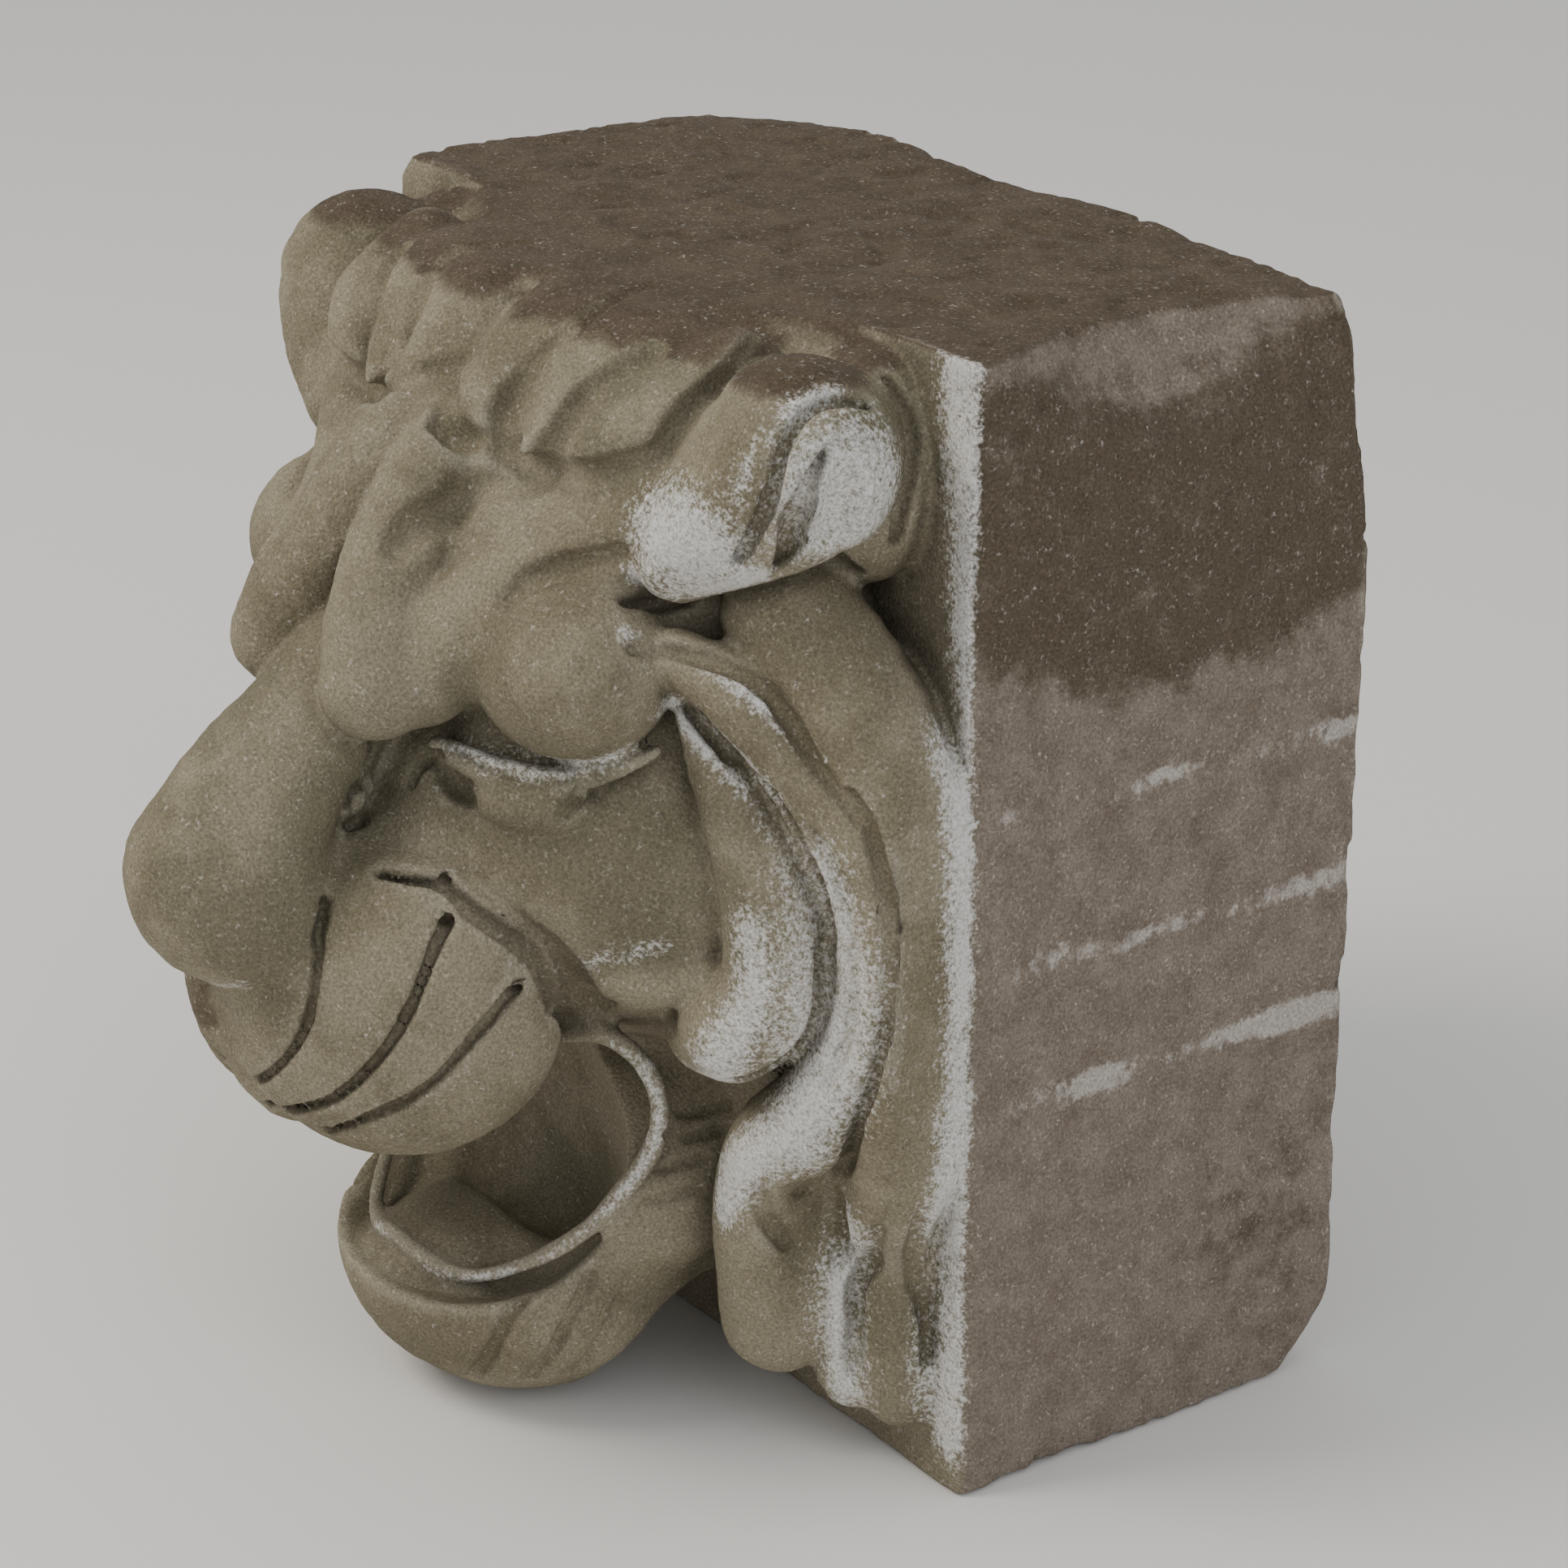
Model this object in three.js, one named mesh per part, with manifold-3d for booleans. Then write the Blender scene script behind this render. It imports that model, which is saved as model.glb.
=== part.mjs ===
// Stone corbel carved as a roaring lion's head in front of the square block that is built into the wall.
// Millimetres, +Z up. The lion faces -Y, the block's back bed lies in the plane y = 0, and the origin is
// the middle of that bed. Block and head are one piece of sandstone, so the model is one solid.

import * as THREE from "three";
import { mergeVertices } from "three/addons/utils/BufferGeometryUtils.js";
import Module from "manifold-3d";

// Driving dimensions of the block
const BLOCK_WIDTH = 526;
const BLOCK_HEIGHT = 600;
const BLOCK_DEPTH = 252;
// How far the tip of the nose stands in front of the block
const HEAD_PROJECTION = 318;
// How far the head's own solid runs into the block behind its front face
const HEAD_ROOT = 24;
// The head was cut from the same block: it stays this far inside the planes of the sides and the beds
const DRESSING = 1.5;

// The carving below is drawn for a stone of these half sizes and follows the driving dimensions
const DRAWN_HALF_WIDTH = 263;
const DRAWN_HALF_HEIGHT = 300;
const DRAWN_PROJECTION = 318;

// Fineness of the faceted head: spacing of the sampling grid and number of facets kept
const GRID_STEP = 5;
const HEAD_FACETS = 9400;

const STONE_COLOUR = 0x8a8069;
const STONE_ROUGHNESS = 0.95;

const wasm = await Module();
wasm.setup();

// Signed distances. Every form has a middle, a reach (radius of the ball around it) and at(x, y, z), the
// distance to its skin, below zero inside.

/** An egg shape with three half axes, turned by an angle in degrees about the vertical. */
function lump(middle, halfAxes, turn = 0) {
  const cosine = Math.cos(THREE.MathUtils.degToRad(turn));
  const sine = Math.sin(THREE.MathUtils.degToRad(turn));
  const [a, b, c] = halfAxes;
  return {
    middle,
    reach: Math.max(a, b, c),
    at(x, y, z) {
      const dx = x - middle[0];
      const dy = y - middle[1];
      const u = (cosine * dx + sine * dy) / a;
      const v = (cosine * dy - sine * dx) / b;
      const w = (z - middle[2]) / c;
      const size = Math.hypot(u, v, w);
      const slope = Math.hypot(u / a, v / b, w / c);
      return slope < 1e-9 ? -Math.min(a, b, c) : (size * (size - 1)) / slope;
    },
  };
}

/** A round roll along a smooth path, with a radius at each point of the path. */
function roll(path, radii) {
  const curve = new THREE.CatmullRomCurve3(path.map((p) => new THREE.Vector3(...p)), false, "centripetal");
  const stretches = path.length - 1;
  const stops = [];
  for (let i = 0; i <= stretches * 4; i += 1) {
    const along = i / (stretches * 4);
    const before = Math.min(Math.floor(along * stretches), stretches - 1);
    const share = along * stretches - before;
    const point = curve.getPoint(along);
    stops.push([point.x, point.y, point.z, THREE.MathUtils.lerp(radii[before], radii[before + 1], share)]);
  }
  const bounds = new THREE.Box3();
  for (const [x, y, z, r] of stops) {
    bounds.expandByPoint(new THREE.Vector3(x - r, y - r, z - r));
    bounds.expandByPoint(new THREE.Vector3(x + r, y + r, z + r));
  }
  const middle = bounds.getCenter(new THREE.Vector3()).toArray();
  return {
    middle,
    reach: bounds.getSize(new THREE.Vector3()).length() / 2,
    at(x, y, z) {
      let nearest = Infinity;
      for (let i = 0; i + 1 < stops.length; i += 1) {
        const [ax, ay, az, ar] = stops[i];
        const [bx, by, bz, br] = stops[i + 1];
        const ex = bx - ax;
        const ey = by - ay;
        const ez = bz - az;
        const along = ((x - ax) * ex + (y - ay) * ey + (z - az) * ez) / (ex * ex + ey * ey + ez * ez);
        const t = Math.min(1, Math.max(0, along));
        const gap = Math.hypot(x - ax - t * ex, y - ay - t * ey, z - az - t * ez);
        nearest = Math.min(nearest, gap - ar - (br - ar) * t);
      }
      return nearest;
    },
  };
}

/** A piece of carving: forms added and cut in order, each blended over a width, mirrored about x = 0. */
class Carving {
  constructor() {
    this.cuts = [];
  }

  add(form, blend) {
    this.cuts.push({ form, blend, removes: false });
  }

  cut(form, blend) {
    this.cuts.push({ form, blend, removes: true });
  }

  /** Distance to the carved skin; a form too far away to matter is passed over. */
  at(x, y, z) {
    const side = Math.hypot(x, 3);
    let skin = 1000;
    for (const { form, blend, removes } of this.cuts) {
      const [mx, my, mz] = form.middle;
      const gap = Math.hypot(side - mx, y - my, z - mz) - form.reach;
      const old = removes ? -skin : skin;
      if (gap > old + blend) {
        continue;
      }
      const distance = form.at(side, y, z);
      const overlap = Math.max(blend - Math.abs(old - distance), 0) / blend;
      const joined = Math.min(old, distance) - (overlap * overlap * blend) / 4;
      skin = removes ? -joined : joined;
    }
    return skin;
  }
}

// The lion's head. Places are [x, y, z] from the middle of the block's front face: x to the side (the other
// side mirrors it), y minus towards the nose, z up.

/** The mass that the mane and the forehead are cut from. */
function carveCore(head) {
  head.add(lump([0, 27, -10], [244, 90, 280]), 10);
  head.add(roll([[0, -10, 272], [110, -6, 272], [190, 12, 268]], [36, 34, 26]), 8);
  head.add(lump([0, -14, 150], [168, 158, 150]), 20);
  head.add(lump([0, -10, 30], [186, 182, 140]), 20);
}

/** Bridge of the nose, its broad tip, and the muzzle behind it. */
function carveMuzzle(head) {
  head.add(roll([[0, -168, 128], [0, -206, 92], [0, -248, 52], [0, -268, 28]], [32, 36, 42, 44]), 16);
  head.add(lump([0, -256, 12], [62, 52, 48]), 14);
  head.add(roll([[24, -206, 96], [28, -234, 70], [30, -252, 44]], [16, 22, 24]), 12);
  head.add(lump([0, -168, -25], [95, 100, 80]), 14);
  head.add(lump([0, -214, -60], [40, 54, 68]), 12);
}

/** The lower jaw with the throat hollowed out under it, the open mouth, the tongue and the lips. */
function carveJaw(head) {
  head.add(lump([0, -33, -180], [136, 112, 92]), 14);
  head.add(lump([0, -102, -230], [106, 92, 74]), 14);
  head.cut(roll([[0, -23, -305], [90, -23, -305], [150, -10, -305]], [76, 80, 84]), 10);
  head.cut(lump([140, -46, -256], [44, 56, 60]), 8);
  head.cut(lump([0, -150, -146], [132, 84, 88]), 6);
  head.add(lump([0, -114, -228], [60, 66, 30]), 16);
  head.cut(lump([20, -94, -186], [44, 26, 34]), 8);
  const lip = [
    [84, -120, -72], [106, -110, -67], [120, -97, -80], [125, -90, -100], [122, -90, -126],
    [108, -102, -158], [92, -118, -184], [72, -139, -204], [48, -160, -214], [20, -172, -210],
    [0, -174, -206],
  ];
  head.add(roll(lip, [9, 9, 9, 9, 9, 8, 8, 8, 8, 8, 8]), 10);
  const beardGrooves = [
    [[72, -149, -220], [76, -158, -240], [50, -162, -272]],
    [[95, -126, -214], [92, -134, -238], [68, -146, -272]],
    [[103, -108, -217], [100, -114, -239], [84, -124, -268]],
  ];
  for (const groove of beardGrooves) {
    head.cut(roll(groove, [3, 7, 7]), 3);
  }
}

/** The dark hollow between cheek and jaw, the fold set back in it and the deep hole under the fold. */
function carveCheekHollow(head) {
  const hollow = [
    [100, -188, 16], [120, -162, -14], [136, -142, -38], [156, -120, -38], [176, -98, -14], [184, -90, 16],
  ];
  head.cut(roll(hollow, [12, 14, 16, 16, 15, 7]), 6);
  head.add(roll([[112, -118, -24], [134, -106, -28], [160, -86, -22]], [13, 15, 13]), 6);
  head.cut(lump([108, -132, -48], [16, 26, 13]), 5);
}

/** A whisker pad beside the nose, its overlapping bands parted by three curved grooves. */
function carveWhiskerPad(head) {
  const trench = [
    [62, -208, 33], [76, -198, 28], [88, -188, 20], [98, -178, 12], [106, -166, 4], [113, -154, -8],
    [116, -142, -24], [112, -130, -44],
  ];
  head.cut(roll(trench, [3, 5, 8, 9, 10, 11, 12, 12]), 4);
  head.add(lump([54, -200, -45], [50, 86, 82], -42), 3);
  const behind = [
    [62, -214, 32], [82, -188, 22], [100, -176, 14], [110, -154, -8], [115, -142, -30], [102, -130, -54],
  ];
  head.cut(roll(behind, [3, 5, 7, 9, 11, 10]), 3);
  const grooves = [
    [[54, -239, 26], [61, -244, -10], [62, -251, -36], [50, -259, -60], [18, -258, -84]],
    [[85, -188, 20], [95, -206, -12], [93, -219, -38], [70, -240, -75], [9, -254, -107]],
    [[110, -160, -14], [112, -180, -34], [103, -205, -63], [80, -234, -92], [53, -245, -107]],
  ];
  for (const groove of grooves) {
    head.cut(roll(groove, [6, 6, 6, 6, 4]), 2);
  }
  head.cut(roll([[30, -282, -38], [10, -282, -46], [14, -272, -66]], [9, 12, 7]), 4);
}

/** Two rolls down each side of the forehead, the bulging lid over the eye and the furrows between them. */
function carveBrow(head) {
  const inner = [[22, -118, 246], [24, -148, 212], [28, -172, 178], [38, -190, 146], [45, -199, 121]];
  head.add(roll(inner, [20, 26, 28, 29, 28]), 5);
  const outer = [[152, -84, 222], [118, -102, 198], [88, -128, 174], [66, -158, 146], [58, -178, 124]];
  head.add(roll(outer, [26, 30, 31, 30, 24]), 7);
  head.add(lump([110, -126, 138], [57, 49, 49]), 9);
  head.cut(roll([[43, -184, 189], [43, -164, 203], [52, -142, 212], [78, -129, 220]], [3, 7, 8, 3]), 5);
}

/** The eye under its lid, set in a socket, and the small lobe at the root of the nose. */
function carveEye(head) {
  const socket = [[50, -186, 76], [72, -172, 74], [96, -159, 70], [120, -144, 72], [138, -128, 80]];
  head.cut(roll(socket, [6, 10, 11, 11, 7]), 5);
  const lid = [
    [60, -174, 89], [80, -164, 83], [102, -152, 80], [122, -138, 82], [142, -118, 92], [152, -106, 100],
  ];
  head.add(roll(lid, [6, 8, 8, 8, 6, 4]), 3);
  head.add(lump([101, -144, 67], [35, 22, 17], 33), 2);
  head.add(lump([28, -206, 66], [11, 14, 19]), 2);
  head.cut(roll([[22, -222, 84], [22, -222, 72], [24, -219, 58]], [4, 6, 4]), 3);
}

/** Finger-like tufts, fanning up from the hairline to the top bed, with valleys between them. */
function carveTufts(head) {
  head.add(lump([50, -52, 254], [130, 66, 48]), 10);
  const tufts = [
    [[46, -130, 230], [30, -116, 246], [29, -96, 264], [24, -56, 282]],
    [[74, -120, 230], [78, -106, 243], [84, -90, 260], [88, -52, 278]],
    [[98, -112, 230], [118, -104, 240], [134, -88, 254], [142, -52, 274]],
  ];
  for (const tuft of tufts) {
    head.add(roll(tuft, [12, 21, 24, 24]), 3);
  }
  const valleys = [
    [[0, -84, 296], [0, -108, 278], [0, -124, 262], [18, -140, 252], [38, -144, 239]],
    [[58, -60, 297], [66, -90, 293], [59, -105, 279], [52, -120, 258], [58, -130, 238]],
    [[122, -64, 292], [117, -86, 287], [106, -104, 271], [90, -114, 250], [76, -122, 228]],
    [[148, -40, 291], [168, -72, 289], [168, -84, 278], [160, -93, 266], [155, -102, 250]],
  ];
  for (const valley of valleys) {
    head.cut(roll(valley, [4, 6, 6, 6, 5]), 3);
  }
  const hairline = [
    [27, -150, 240], [40, -142, 232], [62, -128, 229], [84, -124, 225], [108, -124, 230], [134, -120, 238],
  ];
  head.cut(roll(hairline, [3, 6, 6, 6, 6, 4]), 3);
}

/** A round ear laid back against the block, with a rim and two folds inside it. */
function carveEar(head) {
  head.add(roll([[158, -94, 200], [178, -78, 222], [198, -56, 248]], [25, 38, 50]), 6);
  head.add(lump([190, -10, 235], [38, 40, 58]), 6);
  head.cut(roll([[252, -62, 268], [252, -66, 246], [240, -66, 222]], [10, 14, 10]), 5);
  const fold = [
    [230, -50, 284], [230, -72, 284], [231, -86, 272], [229, -94, 252], [221, -97, 228], [208, -99, 208],
  ];
  head.cut(roll(fold, [4, 6, 6, 6, 6, 4]), 3);
  head.cut(roll([[242, -76, 262], [236, -81, 242], [228, -82, 222], [214, -80, 202]], [5, 9, 10, 6]), 3);
  const under = [[146, -118, 177], [150, -96, 171], [177, -80, 174], [198, -68, 183], [212, -38, 180]];
  head.cut(roll(under, [4, 6, 7, 7, 5]), 3);
}

/** Three long locks of the mane down each side, the inner one curling in beside the mouth. */
function carveMane(head) {
  const outer = [
    [180, -48, 165], [208, -33, 120], [230, -20, 60], [242, -16, 0], [240, -16, -60], [232, -14, -110],
    [218, -16, -150],
  ];
  head.add(roll(outer, [34, 40, 42, 38, 36, 30, 24]), 6);
  const middle = [
    [160, -100, 150], [186, -82, 135], [206, -56, 98], [222, -36, 50], [230, -26, 0], [222, -30, -50],
    [200, -44, -92], [178, -52, -118], [166, -50, -165], [158, -38, -225],
  ];
  head.add(roll(middle, [14, 20, 24, 26, 26, 28, 28, 28, 30, 32]), 4);
  const inner = [
    [158, -96, 128], [172, -84, 92], [184, -70, 50], [190, -62, 10], [188, -62, -25], [172, -74, -46],
  ];
  head.add(roll(inner, [6, 16, 24, 28, 30, 30]), 3);
  head.add(lump([150, -72, -60], [32, 24, 22]), 8);
  const innerCrease = [
    [172, -100, 124], [192, -82, 98], [212, -70, 68], [224, -59, 30], [222, -57, -14], [214, -62, -46],
    [196, -86, -70],
  ];
  head.cut(roll(innerCrease, [3, 4, 5, 5, 5, 6, 4]), 4);
  head.cut(roll([[190, -93, 150], [208, -79, 136], [226, -68, 112], [246, -58, 84]], [2, 5, 5, 2]), 4);
  const outerCrease = [
    [254, -56, 72], [262, -51, 36], [262, -47, -12], [254, -48, -50], [236, -46, -90], [216, -46, -112],
  ];
  head.cut(roll(outerCrease, [3, 5, 5, 5, 5, 4]), 4);
}

/** The lobes that the locks end in at the foot of the block, and the deep pocket between them. */
function carveLobes(head) {
  const near = [[205, -23, -130], [196, -24, -175], [190, -18, -215], [192, -14, -250]];
  head.add(roll(near, [20, 15, 20, 22]), 3);
  const outer = [[225, -13, -130], [220, -10, -170], [216, -3, -215], [212, 2, -252]];
  head.add(roll(outer, [22, 18, 24, 26]), 3);
  head.cut(lump([203, -50, -156], [15, 26, 34]), 5);
}

/** All the carving, in the order in which one form lies over another. */
function carveHead() {
  const head = new Carving();
  const order = [carveCore, carveMuzzle, carveJaw, carveCheekHollow, carveWhiskerPad, carveBrow, carveEye,
    carveTufts, carveEar, carveMane, carveLobes];
  for (const carve of order) {
    carve(head);
  }
  return head;
}

// Meshing: the skin of a distance field becomes a closed net of facets.

const CORNERS = [0, 1, 2, 3, 4, 5, 6, 7].map((c) => [c & 1, (c >> 1) & 1, c >> 2]);

/**
 * Fills the pockets of air in front of the block that no path joins to the first sample, which lies outside
 * the stone. From the layer of samples numbered behind onward, along y, the block closes every path.
 */
function fillPockets(values, counts, behind) {
  const steps = [counts[1] * counts[2], counts[2], 1];
  const open = new Uint8Array(values.length);
  const waiting = [0];
  open[0] = 1;
  while (waiting.length > 0) {
    const here = waiting.pop();
    const place = steps.map((step, axis) => Math.floor(here / step) % counts[axis]);
    for (let axis = 0; axis < 3; axis += 1) {
      for (const way of [-1, 1]) {
        const next = here + way * steps[axis];
        const limit = axis === 1 ? behind : counts[axis];
        const inside = place[axis] + way >= 0 && place[axis] + way < limit;
        if (inside && open[next] === 0 && values[next] >= 0) {
          open[next] = 1;
          waiting.push(next);
        }
      }
    }
  }
  values.forEach((value, here) => {
    const layer = Math.floor(here / steps[1]) % counts[1];
    if (value >= 0 && open[here] === 0 && layer < behind) {
      values[here] = -1;
    }
  });
}

/** Groups the corners of a cell that lie on one side of the skin and counts the groups. */
function groupsIn(corner, stone) {
  const seen = new Set();
  let groups = 0;
  for (let start = 0; start < 8; start += 1) {
    if (seen.has(start) || corner[start] < 0 !== stone) {
      continue;
    }
    groups += 1;
    const waiting = [start];
    seen.add(start);
    while (waiting.length > 0) {
      const here = waiting.pop();
      for (const next of [here ^ 1, here ^ 2, here ^ 4]) {
        if (!seen.has(next) && corner[next] < 0 === stone) {
          seen.add(next);
          waiting.push(next);
        }
      }
    }
  }
  return groups;
}

/** Tells whether the skin would pass through a cell more than once, or pinch itself on one of its sides. */
function isDoubtful(corner) {
  const pinched = [1, 2, 4].some((across) => [0, across].some((side) => {
    const [first, second] = [1, 2, 4].filter((bit) => bit !== across);
    const [a, b, c, d] = [0, first, second, first | second].map((bits) => corner[side | bits] < 0);
    return a === d && b === c && a !== b;
  }));
  return pinched || groupsIn(corner, true) > 1 || groupsIn(corner, false) > 1;
}

/** Leaves stone standing in the cells where the skin would touch itself. */
function fillDoubts(values, counts, index) {
  let changed = true;
  while (changed) {
    changed = false;
    for (let i = 0; i + 1 < counts[0]; i += 1) {
      for (let j = 0; j + 1 < counts[1]; j += 1) {
        for (let k = 0; k + 1 < counts[2]; k += 1) {
          const places = CORNERS.map(([a, b, c]) => index(i + a, j + b, k + c));
          const inside = places.filter((place) => values[place] < 0).length;
          if (inside < 2 || inside > 6 || !isDoubtful(places.map((place) => values[place]))) {
            continue;
          }
          const air = places.filter((place) => values[place] >= 0);
          values[air.reduce((least, place) => (values[place] < values[least] ? place : least))] = -0.5;
          changed = true;
        }
      }
    }
  }
}

/** Samples the field on a grid, in full only in the blocks of cells that its skin may pass through. */
function sample(field, low, step, counts, index) {
  const values = new Float32Array(counts[0] * counts[1] * counts[2]);
  const block = 6;
  const point = (place) => place.map((steps, axis) => low[axis] + steps * step);
  const startsAlong = (count) => Array.from({ length: Math.ceil(count / block) }, (_, n) => n * block);
  const starts = counts.map(startsAlong);
  for (const i0 of starts[0]) {
    for (const j0 of starts[1]) {
      for (const k0 of starts[2]) {
        const middle = field(...point([i0 + block / 2, j0 + block / 2, k0 + block / 2]));
        const far = Math.abs(middle) > 1.6 * block * step + 10;
        for (let i = i0; i < Math.min(i0 + block, counts[0]); i += 1) {
          for (let j = j0; j < Math.min(j0 + block, counts[1]); j += 1) {
            for (let k = k0; k < Math.min(k0 + block, counts[2]); k += 1) {
              values[index(i, j, k)] = far ? middle : field(...point([i, j, k]));
            }
          }
        }
      }
    }
  }
  return values;
}

/**
 * Puts one vertex in each cell of a grid that the skin crosses, and joins them into a closed net. Pockets of
 * air that only open more than two cells behind the plane y = back are filled.
 */
function skinOf(field, low, high, step, back) {
  const counts = low.map((v, axis) => Math.ceil((high[axis] - v) / step) + 1);
  const index = (i, j, k) => (i * counts[1] + j) * counts[2] + k;
  const values = sample(field, low, step, counts, index);
  fillDoubts(values, counts, index);
  fillPockets(values, counts, Math.ceil((back - low[1]) / step) + 2);
  const vertexOf = new Int32Array(values.length).fill(-1);
  const vertices = [];
  for (let i = 0; i + 1 < counts[0]; i += 1) {
    for (let j = 0; j + 1 < counts[1]; j += 1) {
      for (let k = 0; k + 1 < counts[2]; k += 1) {
        const corner = CORNERS.map(([a, b, c]) => values[index(i + a, j + b, k + c)]);
        if (corner.every((value) => value < 0 === corner[0] < 0)) {
          continue;
        }
        const sum = new THREE.Vector3();
        let crossings = 0;
        for (let from = 0; from < 8; from += 1) {
          for (const bit of [1, 2, 4]) {
            const to = from | bit;
            if (to === from || corner[from] < 0 === corner[to] < 0) {
              continue;
            }
            const share = corner[from] / (corner[from] - corner[to]);
            const start = new THREE.Vector3(...CORNERS[from]);
            sum.add(start.lerp(new THREE.Vector3(...CORNERS[to]), share));
            crossings += 1;
          }
        }
        vertexOf[index(i, j, k)] = vertices.length;
        sum.divideScalar(crossings).add(new THREE.Vector3(i, j, k)).multiplyScalar(step);
        vertices.push(sum.add(new THREE.Vector3(...low)));
      }
    }
  }
  const triangles = [];
  const rings = [
    [[1, 0, 0], [0, 1, 1], [0, 0, 1], [0, 0, 0], [0, 1, 0]],
    [[0, 1, 0], [1, 0, 1], [1, 0, 0], [0, 0, 0], [0, 0, 1]],
    [[0, 0, 1], [1, 1, 0], [0, 1, 0], [0, 0, 0], [1, 0, 0]],
  ];
  for (let i = 1; i + 1 < counts[0]; i += 1) {
    for (let j = 1; j + 1 < counts[1]; j += 1) {
      for (let k = 1; k + 1 < counts[2]; k += 1) {
        for (const [ahead, ...cells] of rings) {
          const here = values[index(i, j, k)] < 0;
          if (here === values[index(i + ahead[0], j + ahead[1], k + ahead[2])] < 0) {
            continue;
          }
          const [a, b, c, d] = cells.map(([u, v, w]) => vertexOf[index(i - u, j - v, k - w)]);
          triangles.push(here ? [a, b, c] : [a, c, b], here ? [a, c, d] : [a, d, c]);
        }
      }
    }
  }
  return { vertices, triangles };
}

/** Error of moving a vertex off the planes of the facets that met there, as a symmetric 4 x 4 form. */
class Deviation {
  constructor() {
    this.terms = new Float64Array(10);
  }

  addPlane(normal, offset, weight) {
    const p = [normal.x, normal.y, normal.z, offset];
    let slot = 0;
    for (let row = 0; row < 4; row += 1) {
      for (let column = row; column < 4; column += 1) {
        this.terms[slot] += p[row] * p[column] * weight;
        slot += 1;
      }
    }
  }

  plus(other) {
    const sum = new Deviation();
    sum.terms = this.terms.map((term, slot) => term + other.terms[slot]);
    return sum;
  }

  at({ x, y, z }) {
    const [xx, xy, xz, xw, yy, yz, yw, zz, zw, ww] = this.terms;
    return xx * x * x + 2 * xy * x * y + 2 * xz * x * z + 2 * xw * x + yy * y * y + 2 * yz * y * z
      + 2 * yw * y + zz * z * z + 2 * zw * z + ww;
  }

  /** The point with the least error, or null where the planes don't fix one. */
  best() {
    const [xx, xy, xz, xw, yy, yz, yw, zz, zw] = this.terms;
    const matrix = new THREE.Matrix3().set(xx, xy, xz, xy, yy, yz, xz, yz, zz);
    const scale = (xx + yy + zz) / 3;
    if (Math.abs(matrix.determinant()) < 1e-3 * scale ** 3) {
      return null;
    }
    return new THREE.Vector3(-xw, -yw, -zw).applyMatrix3(matrix.invert());
  }
}

/** A queue that gives the entry of the least cost first. */
class CheapestFirst {
  constructor() {
    this.entries = [];
  }

  push(entry) {
    const list = this.entries;
    let place = list.push(entry) - 1;
    while (place > 0 && list[(place - 1) >> 1].cost > entry.cost) {
      list[place] = list[(place - 1) >> 1];
      place = (place - 1) >> 1;
    }
    list[place] = entry;
  }

  pop() {
    const list = this.entries;
    const first = list[0];
    const last = list.pop();
    if (list.length === 0) {
      return first;
    }
    let place = 0;
    for (;;) {
      let child = 2 * place + 1;
      if (child >= list.length) {
        break;
      }
      if (child + 1 < list.length && list[child + 1].cost < list[child].cost) {
        child += 1;
      }
      if (list[child].cost >= last.cost) {
        break;
      }
      list[place] = list[child];
      place = child;
    }
    list[place] = last;
    return first;
  }
}

function facetNormal(a, b, c) {
  const first = new THREE.Vector3().subVectors(b, a);
  return first.cross(new THREE.Vector3().subVectors(c, a));
}

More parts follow.
